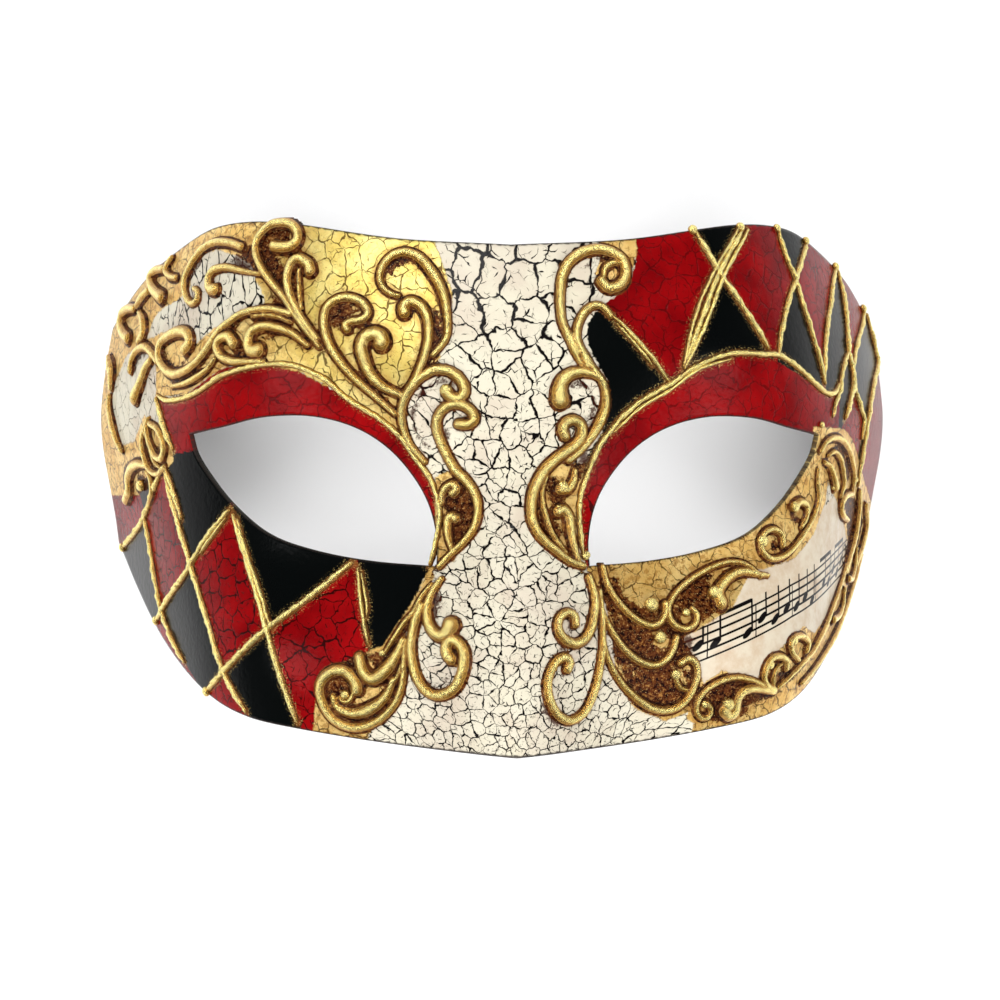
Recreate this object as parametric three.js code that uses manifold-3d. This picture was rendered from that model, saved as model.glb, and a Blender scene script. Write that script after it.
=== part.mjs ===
import * as THREE from 'three';
import * as BufferGeometryUtils from 'three/addons/utils/BufferGeometryUtils.js';
import Module from 'manifold-3d';

// A Venetian half mask: one thin shell of papier-mache with piped stucco scrolls and lattice lines on it.
// It lies face up on the straight rear edges of its two temples, which touch the plane z = 0.
// Millimetres. +Z points out of the face, +Y to the forehead, +X to the right of someone facing the mask.
// Places on the face are given unrolled: u along the curved section from the nose line, v up the face.

const wasm = await Module();
wasm.setup();

// Section across the face, from the nose line to the temple
const EVEN_TURN = 36;
const TEMPLE_TURN = 36;
const TEMPLE_TURN_START = 20;
const TEMPLE_TURN_END = 80;
const SECTION_LENGTH = 134;
const SECTION_STEP = 0.2;
const FRONT_HEIGHT = 74;

// Forehead, cheeks and eye sockets
const FOREHEAD_START = 8;
const CHEEK_START = -5;
const SLOPE_REACH = 45;
const FOREHEAD_DROP = 8;
const CHEEK_DROP = 2;
const FOREHEAD_NARROWING = 0.045;
const CHEEK_NARROWING = 0.05;
const SOCKET = { u: 42, v: 1, halfWidth: 34, halfHeight: 22, depth: 4.5, sharp: 2 };
const CHEEKBONE = { u: 52, v: -34, halfWidth: 26, halfHeight: 16, height: 2.5, sharp: 1 };

// The temples draw in towards the face, and more so at the jaw than at the brow
const TEMPLE_PULL = 1.4;
const JAW_PULL = 4.6;
const PULL_START = 50;
const PULL_FULL = 125;
const JAW_PULL_START = 22;
const JAW_PULL_FULL = -14;

// Nose: a ridge that rises and widens towards the tip
const NOSE_HEIGHT = 17.5;
const NOSE_TOP = 30;
const NOSE_TIP = -62;
const NOSE_RISE_POWER = 1.1;
const NOSE_SIDE_POWER = 1.7;
const NOSE_HALF_WIDTH = 12;
const NOSTRIL_WIDENING = 7;
const NOSTRIL_START = 20;
const NOSTRIL_FULL = -50;

// Wall and outline
const WALL = 2.2;
const CENTRE_U = -0.57;
const CENTRE_V = 4.47;
const FOREHEAD_EDGE = [[0, 50], [24, 51.4], [50, 55.5], [62, 56.2], [72, 55.6], [84, 53], [104, 47.5],
  [122, 39.5], [132, 34]];
const TEMPLE_EDGE = [[132, 34], [132, -7]];
const CHEEK_EDGE = [[132, -7], [115, -18], [95, -29], [70, -39], [57, -42.6], [44, -44.5], [24, -46.8],
  [0, -48]];
const NOSE_LINE = [[0, -48], [0, 50]];
const UPPER_LID = [[14.8, -12.8], [14.7, -7.7], [16, -1.5], [18.8, 4], [24, 10], [30.5, 14.1], [39, 16.4],
  [50, 16.5], [61.5, 14.7], [72.8, 13.4]];
const LOWER_LID = [[72.8, 13.4], [71, 9.6], [65, 4], [57.5, -1.7], [48.5, -7], [39, -9.9], [27.5, -11.9],
  [14.8, -12.8]];
const TIE_HOLE = { u: 96, v: 8, radius: 2, length: 12, sides: 10 };
const FLOOR_CUT = { width: 260, height: 160, depth: 30 };

// Ridges of piped stucco
const RIDGE_HEIGHT = 1.5;
const RIDGE_SINK = 0.6;
const RIDGE_STEP = 11;
const RIDGE_TURN = 48;
const LINE_STEP = 14;
const LINE_HALF_WIDTH = 0.8;
const CURL_STEP = 45;
const FINE_STEP = 0.4;
const NEAR = 0.3;

// A ridge starts low and narrow and swells to a bud at its end, as shares of its width and height
const START_SHARE = 0.6;
const BUD_WIDTH = 1.45;
const BUD_HEIGHT = 1.25;
const TIP_WIDTH = 0.5;
const TIP_HEIGHT = 0.6;

// Each scroll: a stem through a few places, then a curl that winds round its eye by so many degrees
// (positive is anticlockwise) while it closes in to the end radius. All end in a bud unless plain is set.
const SCROLLS = [
  // forehead, left of the nose
  { stem: [[-39.5, 30.5], [-44.5, 36], [-48.5, 41], [-53.5, 45.5], [-55.5, 51], [-52.5, 55]],
    eye: [-49.5, 52], turn: -290, end: 2.2, half: 1.3 },
  { stem: [[-41.5, 33.5], [-45.5, 40], [-47, 44], [-46, 47]], eye: [-43.5, 45], turn: -150, end: 2.4,
    half: 1.2 },
  { stem: [[-54, 45.5], [-61.5, 46.5], [-66, 48], [-69.5, 46]], eye: [-66.5, 43.5], turn: 120, end: 1.4,
    half: 1.1 },
  { stem: [[-68.5, 38.5], [-70, 42]], eye: [-74, 43], turn: 230, end: 1.6, half: 1.2 },
  { stem: [[-13, 28], [-12, 37], [-13.5, 42], [-17, 47]], eye: [-22.5, 44], turn: 390, end: 1.6,
    half: 1.5 },
  { stem: [[-21, 19.5], [-17.5, 26], [-16.5, 35]], eye: [-19.5, 36.5], turn: 250, end: 1.7, half: 1.3 },
  { stem: [[-25.5, 19.5], [-32.5, 24], [-37.5, 31.5], [-38, 35]], eye: [-33, 35.5], turn: -330, end: 1.6,
    half: 1.3 },
  { stem: [[-21, 20], [-27.5, 23], [-30, 29.5]], eye: [-27, 31], turn: -190, end: 1.6, half: 1.3 },
  // left brow and temple
  { stem: [[-44, 34.5], [-53.5, 38.5], [-60, 36], [-67.5, 30], [-72.5, 27]], eye: [-79.5, 30], turn: -247,
    end: 2.4, half: 1.4 },
  { stem: [[-52.5, 36.5], [-59, 35], [-64, 31]], eye: [-61, 30.5], turn: 200, end: 1.5, half: 1.1 },
  { stem: [[-43, 33], [-51.5, 34.5], [-55, 33]], eye: [-52.5, 30.5], turn: 190, end: 1.5, half: 1.2 },
  { stem: [[-57, 54], [-72, 53.5], [-84, 50.8]], eye: [-85, 46.5], turn: 190, end: 1.8, half: 1.8 },
  { stem: [[-86, 50.5], [-97, 47]], eye: [-98, 42.5], turn: 190, end: 1.8, half: 1.7 },
  { stem: [[-99, 46.5], [-112, 41.5], [-121, 36], [-127, 29]], eye: [-124, 26], turn: 150, end: 1.6,
    half: 1.6 },
  { stem: [[-129, 22], [-127, 15], [-122, 9.5]], half: 1.4, plain: true },
  { stem: [[-110, 37.5], [-103, 34.5], [-101.5, 28], [-103.5, 22.5]], eye: [-106.5, 24], turn: -120,
    end: 1.6, half: 1.3 },
  { stem: [[-95, 17.5], [-100, 16], [-102, 9], [-97, 3], [-90.5, 4], [-88, 9], [-90, 14.5], [-94, 18]],
    half: 1.1, plain: true },
  { stem: [[-107, 8], [-114, 8.5], [-119.5, 5], [-119, 0]], eye: [-112.5, 1.5], turn: 190, end: 2,
    half: 1.3 },
  // beside the nose, left of it
  { stem: [[-14, 5], [-19.5, 13], [-21, 16.5], [-20.5, 19.5], [-18.5, 22.5]], eye: [-13, 22], turn: -290,
    end: 1.6, half: 1.4 },
  { stem: [[-14.5, -12], [-9.5, -8.5], [-7, -4.5], [-6.5, -0.5], [-8, 3], [-13, 8], [-14.5, 14]],
    eye: [-10.5, 15], turn: -190, end: 1.8, half: 1.5 },
  // left cheek
  { stem: [[-15, -15.5], [-19, -22], [-22, -30.5], [-22.5, -35.5], [-24.5, -40], [-28, -42.5]],
    eye: [-34, -38], turn: -390, end: 1.5, half: 1.4 },
  { stem: [[-19, -23.5], [-24.5, -32], [-27, -34.5]], eye: [-28.5, -32.5], turn: -220, end: 1.6,
    half: 1.3 },
  { stem: [[-18.5, -22.5], [-20.5, -29.5], [-18, -36]], eye: [-14, -32], turn: 300, end: 3, half: 1.3 },
  { stem: [[-15, -15.5], [-17, -21], [-16, -24.5]], eye: [-14, -24], turn: 150, end: 1.8, half: 1.1 },
  // right of the nose
  { stem: [[14, 28.5], [10, 35.5], [9.5, 41.5], [12.5, 46.5], [15.5, 49]], eye: [20, 45], turn: -290,
    end: 1.8, half: 1.5 },
  { stem: [[18, 23], [13, 32.5], [15.5, 38], [19.5, 37], [27, 28.5], [31.5, 24]], half: 1.4, plain: true },
  { stem: [[11.5, 8.5], [17, 14.5], [17.5, 20.5], [16, 23]], eye: [11.5, 21], turn: 210, end: 3.2,
    half: 1.4 },
  { stem: [[13, -13], [5.5, -7.5], [3.5, 0.5], [7, 6.5], [12, 11], [14, 13]], eye: [12, 13.5], turn: 230,
    end: 1.8, half: 1.4 },
  // right cheek
  { stem: [[15, -15], [16.5, -20], [14, -27.5]], eye: [11, -24.5], turn: -300, end: 1.8, half: 1.3 },
  { stem: [[17.5, -22], [16.5, -34], [12.5, -42.5], [9, -42.5], [5.5, -36], [6.5, -31.5]], eye: [9, -32],
    turn: -100, end: 1.6, half: 1.3 },
  { stem: [[55, -14], [45, -12], [36, -15], [32.5, -18]], eye: [34.5, -22], turn: 350, end: 1.4,
    half: 1.3 },
  { stem: [[74, 11], [73, 7], [75, -0.5], [68.5, -8.5], [58, -12]], eye: [57.5, -9], turn: -280, end: 1.6,
    half: 1.2 },
  { stem: [[59.5, -38.5], [49, -35.5], [44.5, -35], [37.5, -38.5]], eye: [39, -40.5], turn: 280, end: 1.2,
    half: 1.2 },
  { stem: [[59.5, -39], [49.5, -39], [48, -41]], eye: [45.5, -41.5], turn: -170, end: 1.4, half: 1.2 },
  { stem: [[61, -39], [54, -34.5]], eye: [56.5, -33], turn: -220, end: 1.4, half: 1.2 },
  { stem: [[62.5, -33], [62, -30]], eye: [66, -28.5], turn: -290, end: 1.6, half: 1.2 },
  { stem: [[60, -38], [76.5, -32], [88, -21.5], [104, -15.5], [113, -11]], half: 1.6, plain: true },
  // right temple
  { stem: [[79, 12], [84, 14], [91, 12], [95, 4], [100, -3], [108, -10]], half: 1.3, plain: true },
  { stem: [[90, -2], [91.5, 4], [87, 9.5]], eye: [84.5, 6.5], turn: 190, end: 1.8, half: 1.2 },
  { stem: [[122, 10], [124, 3], [120, -5], [112, -12]], half: 1.5, plain: true },
  { stem: [[117, 5], [111, -2]], eye: [107, 2], turn: -200, end: 1.8, half: 1.2 },
];

// Three crescents under the inner corner of the right eye, each one larger and lower than the last
const CRESCENTS = 3;
const CRESCENT_FIRST = { stem: [[19, -14.5], [22, -22], [26, -25]], eye: [27, -21.5], turn: 200, end: 1.6,
  half: 1.2 };
const CRESCENT_LAST = { stem: [[18.5, -29], [24, -39], [31, -42]], eye: [33, -35.5], turn: 235, end: 1.8,
  half: 1.3 };

// Thin lattice lines of the harlequin fields, and the line round each lid
const LID_LINE = [[13.5, -10.5], [13, -1], [15, 7], [20, 14.5], [28, 20.5], [38, 26.5], [48, 29], [57, 28],
  [67.5, 24.5], [78, 22], [86, 22.5]];
const RIGHT_LATTICE = [
  [[39.5, 53], [55, 29.5]], [[65.5, 55], [77.5, 24]], [[88.5, 51], [93, 38], [97.5, 15]],
  [[110, 44.5], [116, 28], [121, 12]],
  [[51, 55], [34.5, 27]], [[77.5, 53.5], [56.5, 29]], [[98, 48], [77.5, 24]],
  [[117, 41], [104, 28], [92, 13]],
];
const LEFT_LATTICE = [
  [[-102, -3], [-93, -21], [-81, -32.5]], [[-85.5, 6.5], [-74, -13], [-57, -41.5]],
  [[-56.5, -5.5], [-44, -43.5]], [[-30.5, -13], [-28.5, -28]],
  [[-124, -10.5], [-103, -4], [-87, 6]], [[-97, -26], [-76, -14], [-62, -4]],
  [[-70, -38], [-50, -25.5], [-30.5, -13]],
];

const smooth = (low, high, x) => {
  const t = Math.min(Math.max((x - low) / (high - low), 0), 1);
  return t * t * (3 - 2 * t);
};

// The section is a curve whose turning angle is known at each length: adding up its cosine and sine gives it
const sectionAcross = [0];
const sectionDown = [0];
const turnAt = (s) => THREE.MathUtils.degToRad(
  EVEN_TURN * s / SECTION_LENGTH + TEMPLE_TURN * smooth(TEMPLE_TURN_START, TEMPLE_TURN_END, s));
for (let i = 0; i < SECTION_LENGTH / SECTION_STEP; i++) {
  const angle = turnAt((i + 0.5) * SECTION_STEP);
  sectionAcross.push(sectionAcross[i] + Math.cos(angle) * SECTION_STEP);
  sectionDown.push(sectionDown[i] + Math.sin(angle) * SECTION_STEP);
}

function lookUp(table, s) {
  const place = Math.min(s / SECTION_STEP, table.length - 1.001);
  const i = Math.floor(place);
  return THREE.MathUtils.lerp(table[i], table[i + 1], place - i);
}

// A bump that is 1 at its middle and fades to 0, flat-topped when sharp is above 1
function bump(shape, s, v) {
  const away = ((s - shape.u) / shape.halfWidth) ** 2 + ((v - shape.v) / shape.halfHeight) ** 2;
  return Math.exp(-(away ** shape.sharp));
}

// The outer face of the mask at unrolled place (u, v)
function facePoint(u, v) {
  const s = Math.abs(u);
  const up = Math.max(v - FOREHEAD_START, 0) / SLOPE_REACH;
  const down = Math.max(CHEEK_START - v, 0) / SLOPE_REACH;
  const narrowing = 1 - FOREHEAD_NARROWING * up * up - CHEEK_NARROWING * down * down;
  const jawPull = JAW_PULL * smooth(JAW_PULL_START, JAW_PULL_FULL, v);
  const pull = (TEMPLE_PULL + jawPull) * smooth(PULL_START, PULL_FULL, s);
  const noseHeight = NOSE_HEIGHT * smooth(NOSE_TOP, NOSE_TIP, v) ** NOSE_RISE_POWER;
  const noseHalfWidth = NOSE_HALF_WIDTH + NOSTRIL_WIDENING * smooth(NOSTRIL_START, NOSTRIL_FULL, v);
  const z = FRONT_HEIGHT - lookUp(sectionDown, s)
    - FOREHEAD_DROP * up * up - CHEEK_DROP * down * down
    + noseHeight * Math.exp(-((s / noseHalfWidth) ** NOSE_SIDE_POWER))
    - SOCKET.depth * bump(SOCKET, s, v)
    + CHEEKBONE.height * bump(CHEEKBONE, s, v);
  const x = lookUp(sectionAcross, s) * narrowing - pull;
  return new THREE.Vector3(Math.sign(u) * x - CENTRE_U, v - CENTRE_V, z);
}

function faceNormal(u, v) {
  const across = facePoint(u + NEAR, v).sub(facePoint(u - NEAR, v));
  const along = facePoint(u, v + NEAR).sub(facePoint(u, v - NEAR));
  return across.cross(along).normalize();
}

// A smooth curve through the given places, as points a fine step apart
function curveThrough(places) {
  const points = places.map(([u, v]) => new THREE.Vector3(u, v, 0));
  const curve = new THREE.CatmullRomCurve3(points, false, 'centripetal');
  return curve.getSpacedPoints(Math.max(Math.round(curve.getLength() / FINE_STEP), 2));
}

// Equally spaced points along a curve
const spacedAlong = (places, count) => {
  const fine = curveThrough(places);
  return Array.from({ length: count + 1 }, (_, i) => fine[Math.round(i * (fine.length - 1) / count)]);
};

function solidFrom(vertices, triangles) {
  const geometry = new THREE.BufferGeometry();
  const coordinates = vertices.flatMap((p) => [p.x, p.y, p.z]);
  geometry.setAttribute('position', new THREE.Float32BufferAttribute(coordinates, 3));
  geometry.setIndex(triangles.flat());
  return solidFromGeometry(geometry);
}

function solidFromGeometry(geometry) {
  geometry.deleteAttribute('normal');
  geometry.deleteAttribute('uv');
  const merged = BufferGeometryUtils.mergeVertices(geometry, 1e-4);
  return new wasm.Manifold(new wasm.Mesh({
    numProp: 3,
    vertProperties: new Float32Array(merged.attributes.position.array),
    triVerts: new Uint32Array(merged.index.array),
  }));
}

const lidAt = (places, from, to, count) => {
  const fine = curveThrough(places);
  const last = fine.length - 1;
  const share = (i) => THREE.MathUtils.lerp(from, to, i / count);
  return Array.from({ length: count + 1 }, (_, i) => fine[Math.round(last * share(i))]);
};

// Shell: rings of cells run from the eye hole out to the edge of each half, on the outer and the inner face
const LAYERS = [{ inward: 0, rings: 4 }, { inward: WALL, rings: 3 }];

// The loop round the eye and the loop round the half are cut into matching stretches.
// These are the shares of each lid's length where one stretch passes into the next.
const INNER_LOWER = 0.92;
const INNER_UPPER = 0.42;
const OUTER_UPPER = 0.93;
const OUTER_LOWER = 0.12;
const STRETCHES = [
  { edge: FOREHEAD_EDGE, count: 14, lid: (n) => lidAt(UPPER_LID, INNER_UPPER, OUTER_UPPER, n) },
  { edge: TEMPLE_EDGE, count: 6, lid: (n) => [
    ...lidAt(UPPER_LID, OUTER_UPPER, 1, n / 2), ...lidAt(LOWER_LID, 0, OUTER_LOWER, n / 2).slice(1)] },
  { edge: CHEEK_EDGE, count: 14, lid: (n) => lidAt(LOWER_LID, OUTER_LOWER, INNER_LOWER, n) },
  { edge: NOSE_LINE, count: 16, lid: (n) => [
    ...lidAt(LOWER_LID, INNER_LOWER, 1, n / 8), ...lidAt(UPPER_LID, 0, INNER_UPPER, n * 7 / 8).slice(1)] },
];

const eyeLoop = [];
const edgeLoop = [];
for (const { edge, count, lid } of STRETCHES) {
  eyeLoop.push(...lid(count).slice(0, count));
  edgeLoop.push(...spacedAlong(edge, count).slice(0, count));
}

function shellSolid() {
  const around = eyeLoop.length;
  const isNoseLine = (i) => edgeLoop[i % around].x < 1e-6 && edgeLoop[(i + 1) % around].x < 1e-6;
  const vertices = [];
  const triangles = [];
  for (const side of [1, -1]) {
    const starts = [];
    for (const { inward, rings } of LAYERS) {
      starts.push(vertices.length);
      for (let ring = 0; ring <= rings; ring++) {
        for (let i = 0; i < around; i++) {
          const place = eyeLoop[i].clone().lerp(edgeLoop[i], ring / rings);
          const u = place.x < 1e-6 ? 0 : side * place.x;
          const inwards = faceNormal(u, place.y).multiplyScalar(-inward);
          if (u === 0) inwards.x = 0;
          vertices.push(facePoint(u, place.y).add(inwards));
        }
      }
    }
    const at = (layer, ring, i) => starts[layer] + ring * around + (i % around);
    const quad = (a, b, c, d) => {
      if (side > 0) triangles.push([a, c, b], [a, d, c]);
      else triangles.push([a, b, c], [a, c, d]);
    };
    const [outer, inner] = LAYERS.map((layer) => layer.rings);
    for (let i = 0; i < around; i++) {
      for (let ring = 0; ring < outer; ring++) {
        quad(at(0, ring, i), at(0, ring + 1, i), at(0, ring + 1, i + 1), at(0, ring, i + 1));
      }
      for (let ring = 0; ring < inner; ring++) {
        quad(at(1, ring, i + 1), at(1, ring + 1, i + 1), at(1, ring + 1, i), at(1, ring, i));
      }
      quad(at(0, 0, i), at(0, 0, i + 1), at(1, 0, i + 1), at(1, 0, i));
      if (!isNoseLine(i)) quad(at(1, inner, i), at(1, inner, i + 1), at(0, outer, i + 1), at(0, outer, i));
    }
  }
  return solidFrom(vertices, triangles);
}

// The whole route of a scroll: its stem, then its curl worked out from eye, turn and end radius
function scrollRoute({ stem, eye, turn, end }) {
  const places = [...stem];
  if (eye) {
    const [u, v] = stem[stem.length - 1];
    const startRadius = Math.hypot(u - eye[0], v - eye[1]);
    const startAngle = Math.atan2(v - eye[1], u - eye[0]);
    const steps = Math.ceil(Math.abs(turn) / CURL_STEP);
    for (let i = 1; i <= steps; i++) {
      const angle = startAngle + THREE.MathUtils.degToRad(turn) * i / steps;
      const radius = THREE.MathUtils.lerp(startRadius, end, i / steps);
      places.push([eye[0] + radius * Math.cos(angle), eye[1] + radius * Math.sin(angle)]);
    }
  }
  return places;
}

// Stations along a curve: one wherever it has run a full step or turned by a full turn since the last
function stationsAlong(places, step) {
  const fine = curveThrough(places);
  const heading = (i) => Math.atan2(fine[i + 1].y - fine[i].y, fine[i + 1].x - fine[i].x);
  const stations = [0];
  let run = 0;
  let turned = 0;
  for (let i = 1; i < fine.length - 1; i++) {
    run += fine[i].distanceTo(fine[i - 1]);
    const change = heading(i) - heading(i - 1) + Math.PI;
    turned += Math.abs(THREE.MathUtils.euclideanModulo(change, 2 * Math.PI) - Math.PI);
    if (run > step || turned > THREE.MathUtils.degToRad(RIDGE_TURN)) {
      stations.push(i);
      run = 0;
      turned = 0;
    }
  }
  stations.push(fine.length - 1);
  return stations.map((i) => {
    const before = fine[Math.max(i - 1, 0)];
    const after = fine[Math.min(i + 1, fine.length - 1)];
    return { place: fine[i], heading: after.clone().sub(before).normalize() };
  });
}

// A ridge of triangular section along a curve on the face, its feet sunk into the wall
function ridgeSolid(places, half, step, bud) {
  const stations = stationsAlong(places, step).map((station) => ({ ...station, wide: 1, high: 1 }));
  const last = stations[stations.length - 1];
  stations[0].wide = START_SHARE;
  stations[0].high = START_SHARE;
  if (bud) {
    last.wide = BUD_WIDTH;
    last.high = BUD_HEIGHT;
    const tip = last.place.clone().addScaledVector(last.heading, half * BUD_WIDTH);
    stations.push({ place: tip, heading: last.heading, wide: TIP_WIDTH, high: TIP_HEIGHT });
  }
  const vertices = [];
  for (const { place, heading, wide, high } of stations) {
    const normal = faceNormal(place.x, place.y);
    const here = facePoint(place.x, place.y);
    const ahead = facePoint(place.x + heading.x * NEAR, place.y + heading.y * NEAR).sub(here);
    const across = ahead.cross(normal).normalize();
    const height = RIDGE_HEIGHT * high;
    const footHalf = half * wide * (height + RIDGE_SINK) / height;
    const foot = here.clone().addScaledVector(normal, -RIDGE_SINK);
    vertices.push(
      foot.clone().addScaledVector(across, footHalf),
      here.clone().addScaledVector(normal, height),
      foot.clone().addScaledVector(across, -footHalf));
  }
  const triangles = [[0, 1, 2]];
  for (let i = 0; i < stations.length - 1; i++) {
    for (let k = 0; k < 3; k++) {
      const a = 3 * i + k;
      const b = 3 * i + (k + 1) % 3;
      triangles.push([a, b + 3, b], [a, a + 3, b + 3]);
    }
  }
  const end = 3 * (stations.length - 1);
  triangles.push([end, end + 2, end + 1]);
  return solidFrom(vertices, triangles);
}

// Crescents: each number runs evenly from the first crescent to the last
function crescents() {
  const mix = (a, b, t) => (
    Array.isArray(a) ? a.map((value, i) => mix(value, b[i], t)) : THREE.MathUtils.lerp(a, b, t));
  return Array.from({ length: CRESCENTS }, (_, i) => {
    const t = i / (CRESCENTS - 1);
    const part = (key) => mix(CRESCENT_FIRST[key], CRESCENT_LAST[key], t);
    return { stem: part('stem'), eye: part('eye'), turn: part('turn'), end: part('end'), half: part('half') };
  });
}

// A block below z = 0, wider than the mask, that cuts the temples' rear edges straight
function floorCut() {
  const { width, height, depth } = FLOOR_CUT;
  const geometry = new THREE.BoxGeometry(width, height, depth);
  geometry.translate(0, 0, -depth / 2);
  return solidFromGeometry(geometry);
}

function tieHole(side) {
  const { u, v, radius, length, sides } = TIE_HOLE;
  const geometry = new THREE.CylinderGeometry(radius, radius, length, sides);
  const normal = faceNormal(side * u, v);
  geometry.applyQuaternion(new THREE.Quaternion().setFromUnitVectors(new THREE.Vector3(0, 1, 0), normal));
  const middle = facePoint(side * u, v);
  geometry.translate(middle.x, middle.y, middle.z);
  return solidFromGeometry(geometry);
}

function maskGeometry() {
  let solid = shellSolid();
  for (const scroll of [...SCROLLS, ...crescents()]) {
    solid = solid.add(ridgeSolid(scrollRoute(scroll), scroll.half, RIDGE_STEP, !scroll.plain));
  }
  const lidLines = [LID_LINE, LID_LINE.map(([u, v]) => [-u, v])];
  for (const line of [...lidLines, ...RIGHT_LATTICE, ...LEFT_LATTICE]) {
    solid = solid.add(ridgeSolid(line, LINE_HALF_WIDTH, LINE_STEP, false));
  }
  for (const side of [1, -1]) solid = solid.subtract(tieHole(side));
  solid = solid.subtract(floorCut());
  const mesh = solid.getMesh();
  const geometry = new THREE.BufferGeometry();
  geometry.setAttribute('position', new THREE.BufferAttribute(mesh.vertProperties, 3));
  geometry.setIndex(new THREE.BufferAttribute(mesh.triVerts, 1));
  return geometry;
}

const creamLacquer = new THREE.MeshStandardMaterial({ color: 0xe9dfcb, roughness: 0.35, metalness: 0 });
const mask = new THREE.Mesh(maskGeometry(), creamLacquer);
mask.name = 'half_mask';

const part = new THREE.Group();
part.add(mask);
export default part;
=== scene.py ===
import math

import bpy
import numpy as np
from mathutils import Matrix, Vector


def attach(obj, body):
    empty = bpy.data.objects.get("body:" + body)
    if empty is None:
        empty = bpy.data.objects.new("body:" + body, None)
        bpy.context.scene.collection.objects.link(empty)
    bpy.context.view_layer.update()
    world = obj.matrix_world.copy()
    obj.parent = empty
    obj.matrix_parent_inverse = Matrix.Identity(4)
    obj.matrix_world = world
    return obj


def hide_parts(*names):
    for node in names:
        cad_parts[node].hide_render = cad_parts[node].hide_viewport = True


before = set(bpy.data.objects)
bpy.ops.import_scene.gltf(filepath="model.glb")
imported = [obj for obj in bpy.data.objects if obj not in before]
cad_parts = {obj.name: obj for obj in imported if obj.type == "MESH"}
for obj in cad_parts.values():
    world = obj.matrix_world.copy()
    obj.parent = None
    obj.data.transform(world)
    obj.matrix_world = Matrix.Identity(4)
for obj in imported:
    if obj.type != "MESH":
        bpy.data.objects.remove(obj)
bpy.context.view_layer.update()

# The shell
# One wall of papier-mache, layered in a mould and trimmed: a vault over the face with a nose ridge, two
# almond eye holes and straight rear edges on the temples. Its cut edge and its inside are painted dark.
# Places on it are unrolled, in millimetres: u along the section from the nose line, v up the face.
WALL = 2.2
EVEN_TURN = 36
TEMPLE_TURN = 36
TEMPLE_TURN_START, TEMPLE_TURN_END = 20, 80
SECTION_LENGTH = 134
SECTION_STEP = 0.2
FRONT_HEIGHT = 74
FOREHEAD_START = 8
CHEEK_START = -5
SLOPE_REACH = 45
FOREHEAD_DROP, CHEEK_DROP = 8, 2
FOREHEAD_NARROWING, CHEEK_NARROWING = 0.045, 0.05
TEMPLE_PULL, PULL_START, PULL_FULL = 1.4, 50, 125
JAW_PULL, JAW_PULL_START, JAW_PULL_FULL = 4.6, 22, -14
NOSE_HEIGHT, NOSE_TOP, NOSE_TIP = 17.5, 30, -62
NOSE_RISE_POWER, NOSE_SIDE_POWER = 1.1, 1.7
NOSE_HALF_WIDTH = 12
NOSTRIL_WIDENING, NOSTRIL_START, NOSTRIL_FULL = 7, 20, -50
# each swelling: its middle along u and v, its half width and half height, its rise and its sharpness
SOCKET = dict(u=42, v=1, half_width=34, half_height=22, rise=-4.5, sharp=2)
CHEEKBONE = dict(u=52, v=-34, half_width=26, half_height=16, rise=2.5, sharp=1)
CENTRE_U, CENTRE_V = -0.57, 4.47
FOREHEAD_EDGE = [(0, 50), (24, 51.4), (50, 55.5), (62, 56.2), (72, 55.6), (84, 53), (104, 47.5), (122, 39.5),
                 (132, 34)]
TEMPLE_EDGE = [(132, 34), (132, -7)]
CHEEK_EDGE = [(132, -7), (115, -18), (95, -29), (70, -39), (57, -42.6), (44, -44.5), (24, -46.8), (0, -48)]
NOSE_LINE = [(0, -48), (0, 50)]
UPPER_LID = [(14.8, -12.8), (14.7, -7.7), (16, -1.5), (18.8, 4), (24, 10), (30.5, 14.1), (39, 16.4),
             (50, 16.5), (61.5, 14.7), (72.8, 13.4)]
LOWER_LID = [(72.8, 13.4), (71, 9.6), (65, 4), (57.5, -1.7), (48.5, -7), (39, -9.9), (27.5, -11.9),
             (14.8, -12.8)]
# how many points of the half's loop lie along the forehead or the cheek, the temple and the nose line
LONG_COUNT, TEMPLE_COUNT, NOSE_COUNT = 168, 44, 104
# shares of the lids' lengths at which the eye's loop is cut to match them, from the nose outwards and back
UPPER_NEAR_NOSE, UPPER_NEAR_TEMPLE = 0.42, 0.93
LOWER_NEAR_TEMPLE, LOWER_NEAR_NOSE = 0.12, 0.92
LOWER_NOSE_COUNT = 13
OUTER_RINGS, RIM_STEPS, INNER_RINGS = 62, 6, 12
RIM_BULGE = 0.35
EYE_WALL = 0.5
EYE_THINNING = 9
SPAN_POINTS = 24
FINE_STEP = 0.1
NEAR = 0.3
TINY = 1e-6
PAPER_DARK, PAPER_BROWN = (0.035, 0.030, 0.028, 1), (0.075, 0.062, 0.052, 1)


def smooth(start, end, x):
    """0 before start and 1 past end; between them 3t^2 - 2t^3, where t is the share of the way."""
    t = np.clip((x - start) / (end - start), 0, 1)
    return t * t * (3 - 2 * t)


def section_curve():
    """The section across the face: x and drop at each length, the sums of the cosine and the sine of a
    turning angle that grows evenly and once more over the temple."""
    middle = np.arange(0, SECTION_LENGTH, SECTION_STEP) + SECTION_STEP / 2
    turn = np.radians(EVEN_TURN * middle / SECTION_LENGTH
                      + TEMPLE_TURN * smooth(TEMPLE_TURN_START, TEMPLE_TURN_END, middle))
    length = np.append(0, middle + SECTION_STEP / 2)
    across = np.append(0, np.cumsum(np.cos(turn)) * SECTION_STEP)
    drop = np.append(0, np.cumsum(np.sin(turn)) * SECTION_STEP)
    return length, across, drop


SECTION = section_curve()


def swelling(s, v, bump):
    """A bump's rise times exp(-r^(2 sharp)), where r is the distance from its middle in half sizes."""
    reach = ((s - bump["u"]) / bump["half_width"]) ** 2 + ((v - bump["v"]) / bump["half_height"]) ** 2
    return bump["rise"] * np.exp(-(reach ** bump["sharp"]))


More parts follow.
